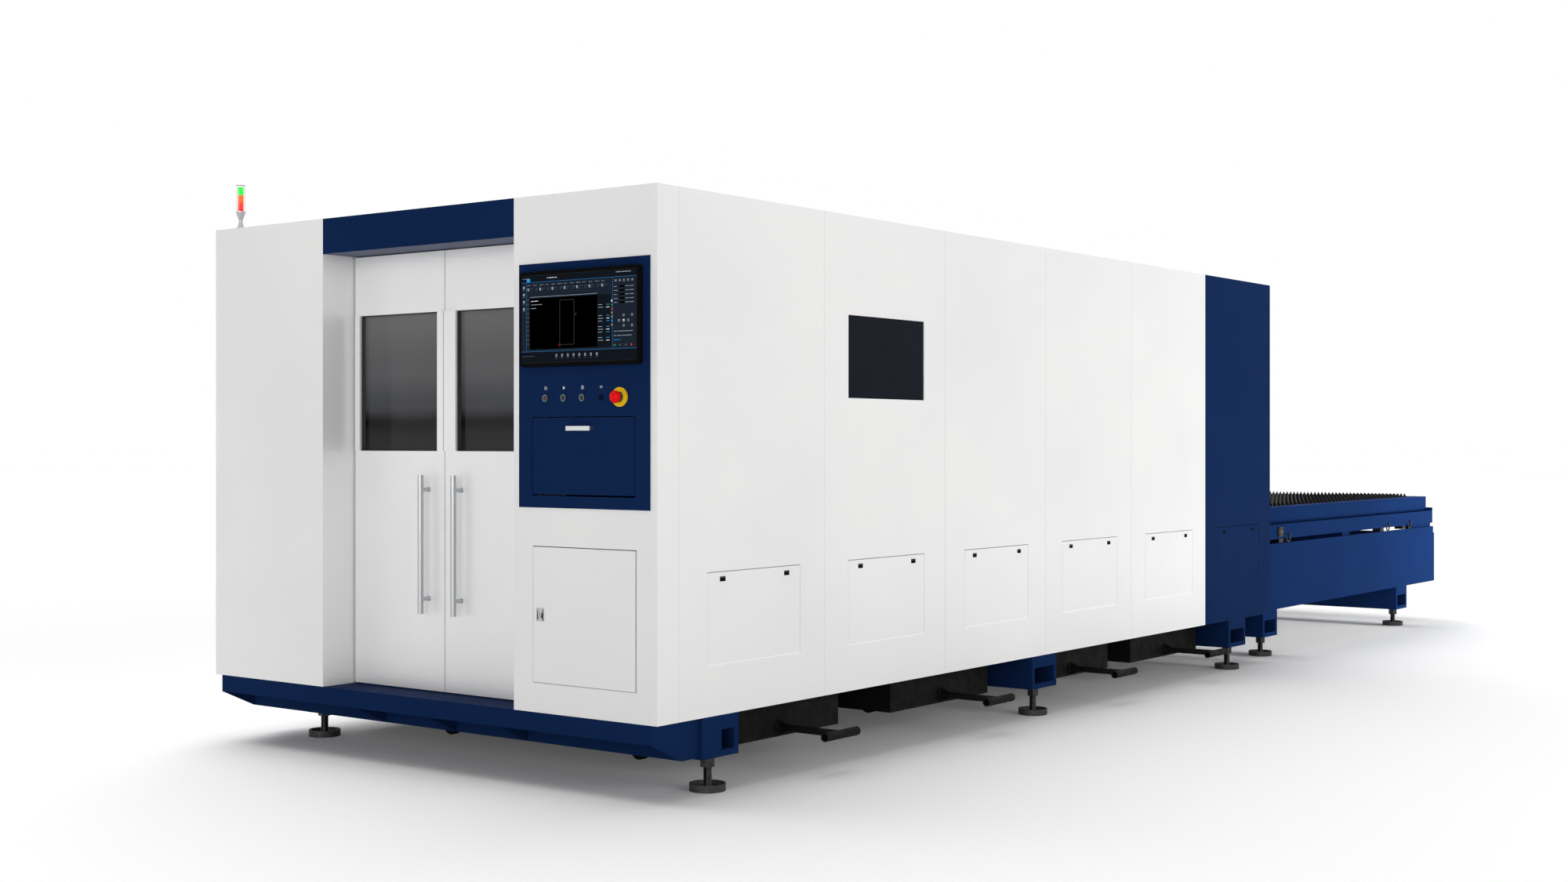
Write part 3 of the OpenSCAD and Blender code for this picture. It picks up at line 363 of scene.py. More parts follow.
def brushed(name, light, dark, along):
    """A brushed metal; along is the number of the axis that the brush followed."""
    finish, tree, shader, place = new_finish(name, {"Metallic": 1.0, "Anisotropic": 0.4})
    scale = [per_metre(SCRATCH_LEN if axis == along else SCRATCH) for axis in range(3)]
    stretch = add_node(tree, "ShaderNodeMapping", {"Vector": place, "Scale": scale})
    noise = add_node(tree, "ShaderNodeTexNoise", {"Vector": stretch.outputs[0], "Scale": 1.0, "Detail": 3})
    colour = add_node(tree, "ShaderNodeMix", {0: noise.outputs["Fac"], 6: linear(light), 7: linear(dark)},
                      data_type="RGBA")
    rough = add_node(tree, "ShaderNodeMapRange", {"Value": noise.outputs["Fac"], "To Min": 0.18,
                                                  "To Max": 0.38})
    bump = add_node(tree, "ShaderNodeBump", {"Height": noise.outputs["Fac"], "Strength": 0.06,
                                             "Distance": 0.0005})
    feed(tree, shader, {"Base Color": colour.outputs[2], "Roughness": rough.outputs[0],
                        "Normal": bump.outputs[0]})
    return finish


# brushed stainless bar: bright, with a highlight drawn out across the brushing
steel_upright = brushed("brushed_stainless_upright", "#c6c8cb", "#a2a4a7", 2)
steel_level = brushed("brushed_stainless_level", "#e6e7e8", "#bdbfc2", 0)
# the button bezels are nickel plated and darker
nickel = brushed("satin_nickel", "#7d8785", "#66706e", 2)
print("brushed steel ready")

# %% [markdown]
# ## Slat steel
# The slats are cut from hot-rolled sheet and burn a little with each job: mill scale is a dark grey,
# and soot and spatter blacken it towards the tips. The burn follows the height of the slat, and a
# coarse noise breaks it up.

# %% Slat steel
BURN_DEEP = 45
SCALE_GRAIN = 30
tip_z = drawn("pallet_slats")[1].z
slat_steel, tree, shader, place = new_finish("burnt_slat_steel", {"Metallic": 0.8})
height = add_node(tree, "ShaderNodeSeparateXYZ", {0: place}).outputs[2]
scale_noise = add_node(tree, "ShaderNodeTexNoise", {"Vector": place, "Scale": per_metre(SCALE_GRAIN),
                                                     "Detail": 6})
burn = add_node(tree, "ShaderNodeMapRange", {"Value": height, "From Min": (tip_z - BURN_DEEP) * MM,
                                             "From Max": tip_z * MM})
mixed = add_node(tree, "ShaderNodeMath", {0: burn.outputs[0], 1: scale_noise.outputs["Fac"]},
                 operation="MULTIPLY")
colour = add_node(tree, "ShaderNodeMix", {0: mixed.outputs[0], 6: linear("#2b2b2c"), 7: linear("#353231")},
                  data_type="RGBA")
rough = add_node(tree, "ShaderNodeMapRange", {"Value": scale_noise.outputs["Fac"], "To Min": 0.4,
                                              "To Max": 0.75})
bump = add_node(tree, "ShaderNodeBump", {"Height": scale_noise.outputs["Fac"], "Strength": 0.4,
                                         "Distance": 0.001})
feed(tree, shader, {"Base Color": colour.outputs[2], "Roughness": rough.outputs[0],
                    "Normal": bump.outputs[0]})
print("slat tips at", round(tip_z, 1), "mm")

# %% [markdown]
# ## Tinted panes
# Laser safety panes are polycarbonate, dyed and covered with a grey film. The door panes carry a painted
# reflection in their colour: paler at the top, almost black in a band near the lower edge, set by height. The
# film lets little light through, and the real gloss on it is weak. The side pane is a darker sort.

# %% Door panes
HAZE = 220
HAZE_SHARE = 0.05
# shades of the painted reflection, from the pane's foot to its top
REFLECTION_STEPS = ((0.02, "#303031"), (0.14, "#242526"), (0.24, "#131416"), (0.36, "#454648"), (0.62, "#5c5c5e"),
          (1.0, "#6c6c6c"))
pane_lo, pane_hi = drawn("left_door_glass")
# dyed polycarbonate under a grey film: its shade is a painted reflection graded by height, with a weak real
# gloss on it
door_pane, tree, shader, place = new_finish(
    "pane_painted_reflection", {"Roughness": 0.06, "IOR": 1.58, "Specular IOR Level": 0.12})
height = add_node(tree, "ShaderNodeSeparateXYZ", {0: place}).outputs[2]
level = add_node(tree, "ShaderNodeMapRange", {"Value": height, "From Min": pane_lo.z * MM,
                                              "From Max": pane_hi.z * MM})
haze = add_node(tree, "ShaderNodeTexNoise", {"Vector": place, "Scale": per_metre(HAZE), "Detail": 2})
wave = add_node(tree, "ShaderNodeMath", {0: haze.outputs["Fac"], 1: HAZE_SHARE, 2: level.outputs[0]},
                operation="MULTIPLY_ADD")
# the ramp that paints the reflection by height
film = add_node(tree, "ShaderNodeValToRGB", {"Fac": wave.outputs[0]})
film.color_ramp.interpolation = "EASE"
while len(film.color_ramp.elements) < len(REFLECTION_STEPS):
    film.color_ramp.elements.new(0.5)
for element, (position, code) in zip(film.color_ramp.elements, REFLECTION_STEPS):
    element.position = position
    element.color = linear(code)
feed(tree, shader, {"Base Color": film.outputs[0]})
print("panes from", round(pane_lo.z), "to", round(pane_hi.z), "mm")

# %% Side pane
SIDE_HAZE = 160
# dyed through and through: nearly black, faintly blue, glossy
side_pane, tree, shader, place = new_finish(
    "dark_safety_pane", {"Roughness": 0.05, "IOR": 1.58, "Specular IOR Level": 0.008})
haze = add_node(tree, "ShaderNodeTexNoise", {"Vector": place, "Scale": per_metre(SIDE_HAZE), "Detail": 2})
colour = add_node(tree, "ShaderNodeMix", {0: haze.outputs["Fac"], 6: linear("#181a22"), 7: linear("#1f2129")},
                  data_type="RGBA")
feed(tree, shader, {"Base Color": colour.outputs[2]})
print(side_pane.name, "ready")

# %% [markdown]
# ## Plastics, lamps and the screen
# The emergency stop is glossy red on yellow. The signal tower has three dyed lenses, lit from inside,
# in a clear cover. The display is black glass; its picture is made of thin lit tiles, each with a
# fine pixel grid of 1 mm that is coarser than the real 0.3 mm so that it can show.

# %% Coloured plastics
MOULD_GRAIN = 4
WORN_SHARE = 0.86


def moulded(name, code, gloss, sockets):
    """A plastic of one colour that wears unevenly, so its shade and gloss vary a little."""
    finish, tree, shader, place = new_finish(name, sockets)
    noise = add_node(tree, "ShaderNodeTexNoise", {"Vector": place, "Scale": per_metre(MOULD_GRAIN),
                                                  "Detail": 3})
    rough = add_node(tree, "ShaderNodeMapRange", {"Value": noise.outputs["Fac"], "To Min": gloss[0],
                                                  "To Max": gloss[1]})
    base = linear(code)
    worn = tuple(WORN_SHARE * c for c in base[:3]) + (1.0,)
    colour = add_node(tree, "ShaderNodeMix", {0: noise.outputs["Fac"], 6: base, 7: worn}, data_type="RGBA")
    feed(tree, shader, {"Base Color": colour.outputs[2], "Roughness": rough.outputs[0]})
    return finish


# moulded polycarbonate, gloss
red_plastic = moulded("moulded_red_pc", "#e8080a", (0.25, 0.4), {"IOR": 1.58, "Specular IOR Level": 0.08})
yellow_plastic = moulded("moulded_yellow_pc", "#f4c512", (0.25, 0.4),
                         {"IOR": 1.58, "Specular IOR Level": 0.1})
# clear extruded tube: only its edges and highlights show; a thin wall bends little light, so the IOR is low
clear_plastic = moulded("clear_pc_tube", "#fbfbfb", (0.02, 0.05),
                        {"IOR": 1.3, "Transmission Weight": 1.0, "Specular IOR Level": 0.3})
# smoked caps of the push buttons, and the display's dark glass
button_cap = moulded("smoked_button_cap", "#333b3f", (0.2, 0.3), {"IOR": 1.52, "Specular IOR Level": 0.1})
dark_glass = moulded("dark_cover_glass", "#0d0f12", (0.06, 0.12), {"IOR": 1.52, "Specular IOR Level": 0.25})
print("plastics ready")

# %% Lit finishes
GRID_SHADE = 0.88


def lit(name, code, strength, grid_mm):
    """A finish that glows in its own colour, with a fine grid of pixels or ribs."""
    colour = linear(code)
    shaded = tuple(GRID_SHADE * c for c in colour[:3]) + (1.0,)
    finish, tree, shader, place = new_finish(name, {"Roughness": 0.3, "Specular IOR Level": 0.0,
                                                    "Base Color": colour, "Emission Strength": strength})
    pixels = add_node(tree, "ShaderNodeTexChecker", {"Vector": place, "Scale": per_metre(grid_mm),
                                                     "Color1": colour, "Color2": shaded})
    feed(tree, shader, {"Emission Color": pixels.outputs["Color"]})
    return finish


# dyed lenses lit from inside, ribbed every 8 mm
lens_red = lit("red_signal_lens", "#ff1414", 0.75, 8)
lens_orange = lit("orange_signal_lens", "#ff5500", 0.75, 8)
lens_green = lit("green_signal_lens", "#00eb32", 0.75, 8)
print("lenses ready")

# %% [markdown]
# ## Finishes on the CAD nodes
# The rigid pieces keep their CAD shape and only get a finish. Two nodes take more than one: the header's
# underside takes a pale grey blue, a painted reflection of the white doors below, and the lens node holds
# three lenses, so each face takes the colour of its height.

# %% Assign the finishes
FINISHES = {
    white_paint: ["left_front_column", "right_front_column", "right_side_panels", "left_side_panels",
                  "roof_panels", "lower_door"]
                 + [f"side_hatch_{i}" for i in range(1, 6)],
    door_lightened_coat: ["left_door", "right_door"],
    blue_paint: ["bed_frame", "front_step", "front_header", "rear_module", "control_panel",
                 "keyboard_flap", "side_hatch_6"],
    table_lit_blue: ["exchange_frame", "roller_rails", "pallet_frame"],
    black_paint: [f"scrap_cart_{i}" for i in range(1, 5)],
    cast_iron: ["foot_pads"],
    black_steel: ["foot_stems", "foot_nuts", "table_rollers", "transport_hooks", "gantry_rails",
                  "cutting_head", "door_pivot_pins"],
    steel_upright: ["left_door_handle", "right_door_handle", "lower_door_lock", "tower_neck"],
    steel_level: ["flap_handle", "head_carriage"],
    nickel: ["button_rings"],
    aluminium: ["gantry_beam"],
    slat_steel: ["pallet_slats"],
    door_pane: ["left_door_glass", "right_door_glass"],
    side_pane: ["side_window_glass"],
    black_plastic: ["monitor_bezel", "usb_port", "keyboard"],
    dark_glass: ["monitor_screen"],
    button_cap: ["power_button", "start_button", "lamp_button"],
    red_plastic: ["stop_button"],
    yellow_plastic: ["stop_ring"],
    clear_plastic: ["tower_cover"],
}
for finish, nodes in FINISHES.items():
    for name in nodes:
        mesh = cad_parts[name].data
        mesh.materials.clear()
        mesh.materials.append(finish)

# faces that look down take the painted reflection
LOOKS_DOWN = -0.9
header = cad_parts["front_header"].data
header.materials.append(header_underside_reflection)
for face in header.polygons:
    face.material_index = int(face.normal.z < LOOKS_DOWN)

LENSES = (lens_red, lens_orange, lens_green)
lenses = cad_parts["tower_lenses"].data
lenses.materials.clear()
for finish in LENSES:
    lenses.materials.append(finish)
low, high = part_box("tower_lenses")
for face in lenses.polygons:
    share = (face.center.z - low.z) / (high.z - low.z)
    face.material_index = min(len(LENSES) - 1, int(len(LENSES) * share))
print(sum(len(nodes) for nodes in FINISHES.values()) + 1, "nodes finished")

# %% [markdown]
# ## Mesh helpers
# Trim is built in bmesh: boxes with broken edges, rectangular rings, turned parts and flat outlines.
# Each helper adds to an open mesh, so one piece can hold many of them, and `piece` closes it, gives it
# its finish and makes it ride on its body.

# %% Boxes and bands
def add_box(mesh, low, high, edge=0.0, finish=0):
    """A box between two corners in drawing millimetres, with its edges broken."""
    lo, hi = at(*low), at(*high)
    size = hi - lo
    made = bmesh.ops.create_cube(mesh, matrix=Matrix.Translation((lo + hi) / 2) @ Matrix.Diagonal((*size, 1)))
    faces = dict.fromkeys(face for vert in made["verts"] for face in vert.link_faces)
    for face in faces:
        face.material_index = finish
    if edge:
        rims = list(dict.fromkeys(rim for face in faces for rim in face.edges))
        bmesh.ops.bevel(mesh, geom=rims, offset=edge * MM, segments=2, profile=0.5, affect="EDGES")


def add_band(mesh, first, second, finish=0):
    """The faces between two closed loops of points."""
    for k in range(len(first)):
        n = (k + 1) % len(first)
        mesh.faces.new((first[k], first[n], second[n], second[k])).material_index = finish


def add_ring(mesh, outer, inner, front, back):
    """A rectangular ring: outer and inner are (x0, z0, x1, z1), and it reaches from front to back."""
    loops = [[mesh.verts.new(at(x, y, z)) for x, z in ((x0, z0), (x1, z0), (x1, z1), (x0, z1))]
             for x0, z0, x1, z1 in (outer, inner) for y in (front, back)]
    for first, second in ((0, 1), (1, 3), (3, 2), (2, 0)):
        add_band(mesh, loops[first], loops[second])


print("boxes and rings ready")

# %% Turned parts and outlines
def add_turned(mesh, centre, profile, facing, segments=32, finish=0):
    """A turned solid: profile holds (radius, reach) in millimetres along the facing axis."""
    axis = Vector(facing)
    side = axis.orthogonal().normalized()
    across = axis.cross(side)
    start = at(*centre)
    angles = [2 * math.pi * k / segments for k in range(segments)]
    rows = []
    for radius, reach in profile:
        rows.append([mesh.verts.new(start + axis * reach * MM
                                    + (side * math.cos(t) + across * math.sin(t)) * radius * MM)
                     for t in angles])
    for row, following in zip(rows, rows[1:]):
        add_band(mesh, row, following, finish)
    for row in (rows[0], rows[-1]):
        mesh.faces.new(row).material_index = finish


def add_prism(mesh, points, low, high, along="y"):
    """A flat outline that reaches from low to high: in x and z along y, or in x and y along z."""
    def corner(a, b, reach):
        return at(a, reach, b) if along == "y" else at(a, b, reach)

    ends = [[mesh.verts.new(corner(a, b, reach)) for a, b in points] for reach in (low, high)]
    for end in ends:
        mesh.faces.new(end)
    add_band(mesh, *ends)


def piece(name, mesh, body, finishes, smooth=None):
    """Closes a mesh as a piece that rides on a body; smooth is the least angle of a sharp edge."""
    bmesh.ops.recalc_face_normals(mesh, faces=mesh.faces)
    data = bpy.data.meshes.new(name)
    mesh.to_mesh(data)
    mesh.free()
    for finish in finishes:
        data.materials.append(finish)
    if smooth:
        data.shade_smooth()
        data.set_sharp_from_angle(angle=math.radians(smooth))
    made = bpy.data.objects.new(name, data)
    scene.collection.objects.link(made)
    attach(made, body)
    print(name, len(data.polygons), "faces on", body)
    return made


print("turned parts and outlines ready")

# %% [markdown]
# ## Joint strips
# The skin is made of folded trays that hang side by side with a 4 mm gap. On the machine a strip closes
# each gap just under the surface, so it reads as a thin grey line and not as a dark slot. The strips
# follow the gaps on both long sides and across the roof. A line in the paint could draw them too, but a
# strip is a real shape and looks right from near and far.

# %% Strips in the joints of the skin
PANELS = 5
ROOFS = 3
SEAM = 4
STRIP_SET = 0.6
STRIP_DEPTH = 8
STRIP_END = 1
STRIP_HALF = SEAM / 2 - 0.1
side_lo, side_hi = drawn("right_side_panels")
roof_lo, roof_hi = drawn("roof_panels")
rear_lo = drawn("rear_module")[0]
skin_x = side_hi.x
pitch = (side_hi.y - side_lo.y + SEAM) / PANELS
mesh = bmesh.new()
for i in range(PANELS + 1):
    y = side_lo.y - SEAM / 2 + pitch * i
    for side in (-1, 1):
        x0, x1 = sorted((side * (skin_x - STRIP_SET - STRIP_DEPTH), side * (skin_x - STRIP_SET)))
        add_box(mesh, (x0, y - STRIP_HALF, side_lo.z + STRIP_END),
                (x1, y + STRIP_HALF, side_hi.z - STRIP_END))
roof_pitch = (rear_lo.y - SEAM / 2 - roof_lo.y) / ROOFS
for i in range(ROOFS):
    y = roof_lo.y + roof_pitch * (i + 1) - SEAM / 2
    add_box(mesh, (roof_lo.x + STRIP_END, y - STRIP_HALF, roof_hi.z - STRIP_SET - STRIP_DEPTH),
            (roof_hi.x - STRIP_END, y + STRIP_HALF, roof_hi.z - STRIP_SET))
piece("skin_joint_strips", mesh, "machine", [pale_gasket])

# %% [markdown]
# ## Hatch seals
# A foam seal runs round each hatch and fills the gap to the skin a little below the surface. It moves with
# the hatch. Its upper strip is grey rubber, which keeps dust out; its grey is painted shade, so the upper
# edge shows as the darkest line. Its lower strip is drawn whiter than the skin as painted light, so it is the
# palest. The seal of the blue hatch is blue, with its upper strip black as painted shade. Four boxes make a
# seal, because its sides differ in finish.

# %% Seals of the side hatches
HATCHES = range(1, 7)
BLUE_HATCH = 6
PIN_REACH = 8
SEAL_SET = 0.8
SEAL_DEPTH = 7
SEAL_SIDE = 2.6
SEAL_FOOT = 4.2


def hatch(number):
    """A hatch's corners on the drawing, and its two ends without the hinge pins."""
    lo, hi = drawn(f"side_hatch_{number}")
    return lo, hi, lo.y + PIN_REACH, hi.y - PIN_REACH


for i in HATCHES:
    lo, hi, y0, y1 = hatch(i)
    blue = i == BLUE_HATCH
    strips = (((y0 - SEAL_SIDE, lo.z), (y0, hi.z)), ((y1, lo.z), (y1 + SEAL_SIDE, hi.z)),
              ((y0 - SEAL_SIDE, hi.z), (y1 + SEAL_SIDE, hi.z + SEAL_SIDE)),
              ((y0 - SEAL_SIDE, lo.z - SEAL_FOOT), (y1 + SEAL_SIDE, lo.z)))
    mesh = bmesh.new()
    # upper strips carry painted shade in grey or black, the white foot carries painted light
    for ((a0, b0), (a1, b1)), kind in zip(strips, (0, 0, 1, 2)):
        add_box(mesh, (hi.x - SEAL_SET - SEAL_DEPTH, a0, b0), (hi.x - SEAL_SET, a1, b1), finish=kind)
    piece(f"side_hatch_{i}_seal", mesh, f"side_hatch_{i}_body",
          [blue_paint, black_lip_painted_shade, blue_paint] if blue else [pale_gasket, lip_painted_shade, foot_gasket_painted_light])

# %% [markdown]
# ## Finger latches
# Two finger latches sit near the upper edge of each hatch: a painted cover plate over the pocket, a black
# body and, at its upper edge, a paddle that one presses to let the spring go. On the white hatches the paddle
# is a lighter grey, a painted highlight along the latch's upper edge. They are boxes with broken edges, which
# catch the light at the rims as moulded plastic does.

# %% Latches of the side hatches
LATCH_W = 29
LATCH_H = 16.5
LATCH_IN = 78
LATCH_DOWN = 14.5
COVER_EDGE = 3
COVER_FOOT = 46
PADDLE_IN = 1
PADDLE_DOWN = 0.6
# how deep each part starts in the hatch and how far it stands out of it
COVER_X, LATCH_X, PADDLE_X = (-2, 0.2), (-1, 1.4), (0.4, 2)
for i in HATCHES:
    lo, hi, y0, y1 = hatch(i)
    blue = i == BLUE_HATCH
    half, top = LATCH_W / 2, hi.z - LATCH_DOWN
    mesh = bmesh.new()
    for y in (y0 + LATCH_IN, y1 - LATCH_IN):
        add_box(mesh, (hi.x + COVER_X[0], y - half - COVER_EDGE, hi.z - COVER_FOOT),
                (hi.x + COVER_X[1], y + half + COVER_EDGE, top + COVER_EDGE), finish=2)
        add_box(mesh, (hi.x + LATCH_X[0], y - half, top - LATCH_H),
                (hi.x + LATCH_X[1], y + half, top), edge=0.4)
        # the paddle: on the white hatches its lighter grey is a painted highlight
        add_box(mesh, (hi.x + PADDLE_X[0], y - half + PADDLE_IN, top - LATCH_H / 3),
                (hi.x + PADDLE_X[1], y + half - PADDLE_IN, top - PADDLE_DOWN), edge=0.5, finish=1)
    piece(f"side_hatch_{i}_latches", mesh, f"side_hatch_{i}_body",
          [black_plastic, black_plastic if blue else grey_plastic_paddle_highlight, blue_paint if blue else white_paint])

# %% [markdown]
# ## Sill beads
# The seal leaves a narrow slot under each hatch, and a painted bead on the skin closes it. The seal's
# lower edge swings about the hinge pins, so the bead's upper side is hollow: it follows an arc about the
# same pins and stays clear of the seal at every angle.

# %% Beads under the hatches
PIN_IN = 8.6
PIN_UP = 9
HATCH_GAP = 6
BEAD_R = 15.6
BEAD_IN = 5
BEAD_OUT = 8.4
BEAD_STEPS = 8
for i in HATCHES:
    lo, hi, y0, y1 = hatch(i)
    blue = i == BLUE_HATCH
    pin_x, pin_z = hi.x - PIN_IN, lo.z + PIN_UP
    reaches = [BEAD_IN + (BEAD_OUT - BEAD_IN) * k / BEAD_STEPS for k in range(BEAD_STEPS + 1)]
    section = [(pin_x + x, pin_z - math.sqrt(BEAD_R ** 2 - x ** 2)) for x in reaches]
    section += [(pin_x + x, lo.z - HATCH_GAP) for x in (BEAD_OUT, BEAD_IN)]
    mesh = bmesh.new()
    add_prism(mesh, section, y0 - SEAL_SIDE, y1 + SEAL_SIDE)
    piece(f"side_hatch_{i}_sill_bead", mesh, "machine",
          [blue_paint if blue else white_paint])

# %% [markdown]
# ## Window channels
# Each pane sits 18 mm behind the door's face. A rubber channel lines the opening from the face to the
# pane: seen at an angle it is the dark strip beside the pane. One rectangular ring gives all four sides.

# %% Channels of the door windows
STILE_PROUD = 8
PANE_LAP = 11.7
CHANNEL = 3
CHANNEL_SET = 1
PANE_PLAY = 0.1
face_y = drawn("left_door")[0].y + STILE_PROUD
for side in ("left", "right"):
    lo, hi = drawn(f"{side}_door_glass")
    x0, x1, z0, z1 = lo.x + PANE_LAP, hi.x - PANE_LAP, lo.z + PANE_LAP, hi.z - PANE_LAP
    mesh = bmesh.new()
    add_ring(mesh, (x0, z0, x1, z1), (x0 + CHANNEL, z0 + CHANNEL, x1 - CHANNEL, z1 - CHANNEL),
             face_y + CHANNEL_SET, lo.y - PANE_PLAY)
    piece(f"{side}_door_window_channel", mesh, f"{side}_door_body", [rubber])

# %% [markdown]
# ## Seals of the doors
# A bulb seal on each leaf's outer edge closes the gap to the doorway. Its section is an arc about the leaf's
# pivot, so it clears the wall when the leaf swings. A flat strip on the left leaf closes the gap where the
# leaves meet; its grey is painted shade in that gap.

# %% Edge seals of the leaves
PIVOT_IN = 26
LEAF_HALF = 20
BULB_R = 34.6
BULB_FACE = 19.5
BULB_STEPS = 6
SEAL_END = 2
MEETING_PLAY = 0.2
MEETING_SET = (4, 10)
meeting = (drawn("left_door")[1].x + MEETING_PLAY, drawn("right_door")[0].x - MEETING_PLAY)
swing = math.asin(BULB_FACE / BULB_R)
for side, turn in (("left", -1), ("right", 1)):
    lo, hi = drawn(f"{side}_door")
    outer = lo.x if side == "left" else hi.x
    pivot_x, pivot_y = outer - turn * PIVOT_IN, face_y + LEAF_HALF
    angles = [swing * (k / BULB_STEPS - 1) for k in range(2 * BULB_STEPS + 1)]
    section = [(pivot_x + turn * BULB_R * math.cos(a), pivot_y + BULB_R * math.sin(a)) for a in angles]
    section += [(outer, pivot_y + BULB_FACE), (outer, pivot_y - BULB_FACE)]
    mesh = bmesh.new()
    add_prism(mesh, section, lo.z + SEAL_END, hi.z - SEAL_END, along="z")
    if side == "left":
        # the meeting strip: its grey is painted shade in the gap between the leaves
        add_box(mesh, (meeting[0], face_y + MEETING_SET[0], lo.z + SEAL_END),
                (meeting[1], face_y + MEETING_SET[1], hi.z - SEAL_END), edge=0.5, finish=1)
    piece(f"{side}_door_edge_seals", mesh, f"{side}_door_body", [pale_gasket, lip_painted_shade])

# %% [markdown]
# The lower service door has a foam seal in its gap, as the hatches have. It is pale on the left, a mid grey
# on the right and below, and rubber along the top.

# %% Seal of the service door
lo, hi = drawn("lower_door")
z0, z1 = lo.z + PIN_REACH, hi.z - PIN_REACH
strips = (((lo.x - SEAL_SIDE, z0), (lo.x, z1)), ((hi.x, z0), (hi.x + SEAL_FOOT, z1)),
          ((lo.x - SEAL_SIDE, z0 - SEAL_SIDE), (hi.x + SEAL_FOOT, z0)),
          ((lo.x - SEAL_SIDE, z1), (hi.x + SEAL_FOOT, z1 + SEAL_SIDE)))
mesh = bmesh.new()
for ((a0, b0), (a1, b1)), kind in zip(strips, (0, 1, 1, 2)):
    add_box(mesh, (a0, lo.y + SEAL_SET, b0), (a1, lo.y + SEAL_SET + SEAL_DEPTH, b1), finish=kind)
piece("lower_door_seal", mesh, "lower_door_body", [pale_gasket, grey_gasket, rubber])

# %% [markdown]
# ## Handle roses and the lock
# The bar handles stand on two posts, and each post ends in a thin rose on the door. It is turned from a
# profile, which gives the small step on its face that a plain disc lacks. The service door's lock has a slot
# for its key.

# %% Roses and key slot
ROSE = [(0.5, 0), (10, 0), (10, 1), (9.4, 1.6), (7.8, 1.6), (7.4, 1.9), (0.5, 1.9)]
POST_END = 54
KEY_HALF = (0.9, 4.5)
KEY_OUT, KEY_DEEP = 0.3, 0.5
for side in ("left", "right"):
    lo, hi = drawn(f"{side}_door_handle")
    mesh = bmesh.new()
    for z in (lo.z + POST_END, hi.z - POST_END):
        add_turned(mesh, ((lo.x + hi.x) / 2, hi.y, z), ROSE, (0, -1, 0))
    piece(f"{side}_handle_roses", mesh, f"{side}_door_body", [steel_upright], smooth=35)

lo, hi = drawn("lower_door_lock")
mid = (lo + hi) / 2
mesh = bmesh.new()
add_box(mesh, (mid.x - KEY_HALF[0], lo.y - KEY_OUT, mid.z - KEY_HALF[1]),
        (mid.x + KEY_HALF[0], lo.y + KEY_DEEP, mid.z + KEY_HALF[1]))
piece("lower_door_key_slot", mesh, "lower_door_body", [black_plastic])

# %% [markdown]
# ## Fins on the cart handles
# The pull bar of each scrap cart is welded to the cart's face. Four small fins of sheet stiffen the joint:
# each is a triangle between the face and the bar, so one outline is turned to the four sides.

# %% Handle fins
CARTS = range(1, 5)
FIN_UP = 27
FIN_OUT = 34
FIN_T = 4
FIN_FOOT = 12
FLANGE_T = 6
HANDLE_UP = 33
CART_IN = 155
CART_FLOOR = 107
for i in CARTS:
    lo, hi = drawn(f"scrap_cart_{i}")
    root = Vector((skin_x - CART_IN + FLANGE_T, (lo.y + hi.y) / 2, CART_FLOOR + HANDLE_UP))
    mesh = bmesh.new()
    for k in range(4):
        turn = Matrix.Rotation(k * math.pi / 2, 3, "X")
        corners = [Vector((x, y, z)) for y in (-FIN_T / 2, FIN_T / 2)
                   for x, z in ((0, FIN_FOOT), (0, FIN_UP), (FIN_OUT, FIN_FOOT))]
        points = [mesh.verts.new(at(*(root + turn @ corner))) for corner in corners]
        for loop in ((0, 1, 2), (3, 5, 4), (0, 3, 4, 1), (1, 4, 5, 2), (2, 5, 3, 0)):
            mesh.faces.new([points[n] for n in loop])
    piece(f"scrap_cart_{i}_handle_fins", mesh, f"scrap_cart_{i}_body", [black_paint])

# %% [markdown]
# ## Toothed slats
# The work rests on the tips of upright slats. Each is a strip of sheet with a saw edge, about 24 mm from
# tip to tip, and stands across the pallet. The CAD slats are the same strips with coarser teeth, so this
# piece stands for them: same places, same height, finer edge. The teeth are set point by point, which is
# quicker and cleaner than to cut them from a strip.

# %% Slats with their fine teeth
SLATS = 45
SLAT_T = 5
TEETH = 77
TOOTH = 23
slat_lo, slat_hi = drawn("pallet_slats")
step = (slat_hi.y - slat_lo.y - SLAT_T) / (SLATS - 1)
width = (slat_hi.x - slat_lo.x) / TEETH
root_z = slat_hi.z - TOOTH
mesh = bmesh.new()
for i in range(SLATS):
    y = slat_lo.y + i * step
    sides = []
    for depth in (y, y + SLAT_T):
        feet = [mesh.verts.new(at(slat_lo.x + k * width, depth, slat_lo.z)) for k in range(TEETH + 1)]
        roots = [mesh.verts.new(at(slat_lo.x + k * width, depth, root_z)) for k in range(TEETH + 1)]
        tips = [mesh.verts.new(at(slat_lo.x + (k + 0.5) * width, depth, slat_hi.z)) for k in range(TEETH)]
        for k in range(TEETH):
            mesh.faces.new((feet[k], feet[k + 1], roots[k + 1], roots[k]))
            mesh.faces.new((roots[k], roots[k + 1], tips[k]))
        sides.append((feet, roots, tips))
    (feet, roots, tips), (feet2, roots2, tips2) = sides
    for k in range(TEETH):
        mesh.faces.new((feet[k], feet[k + 1], feet2[k + 1], feet2[k]))
        mesh.faces.new((roots[k], tips[k], tips2[k], roots2[k]))
        mesh.faces.new((tips[k], roots[k + 1], roots2[k + 1], tips2[k]))
    for k in (0, TEETH):
        mesh.faces.new((feet[k], roots[k], roots2[k], feet2[k]))
slats = piece("toothed_slats", mesh, "pallet", [slat_steel])
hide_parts("pallet_slats")

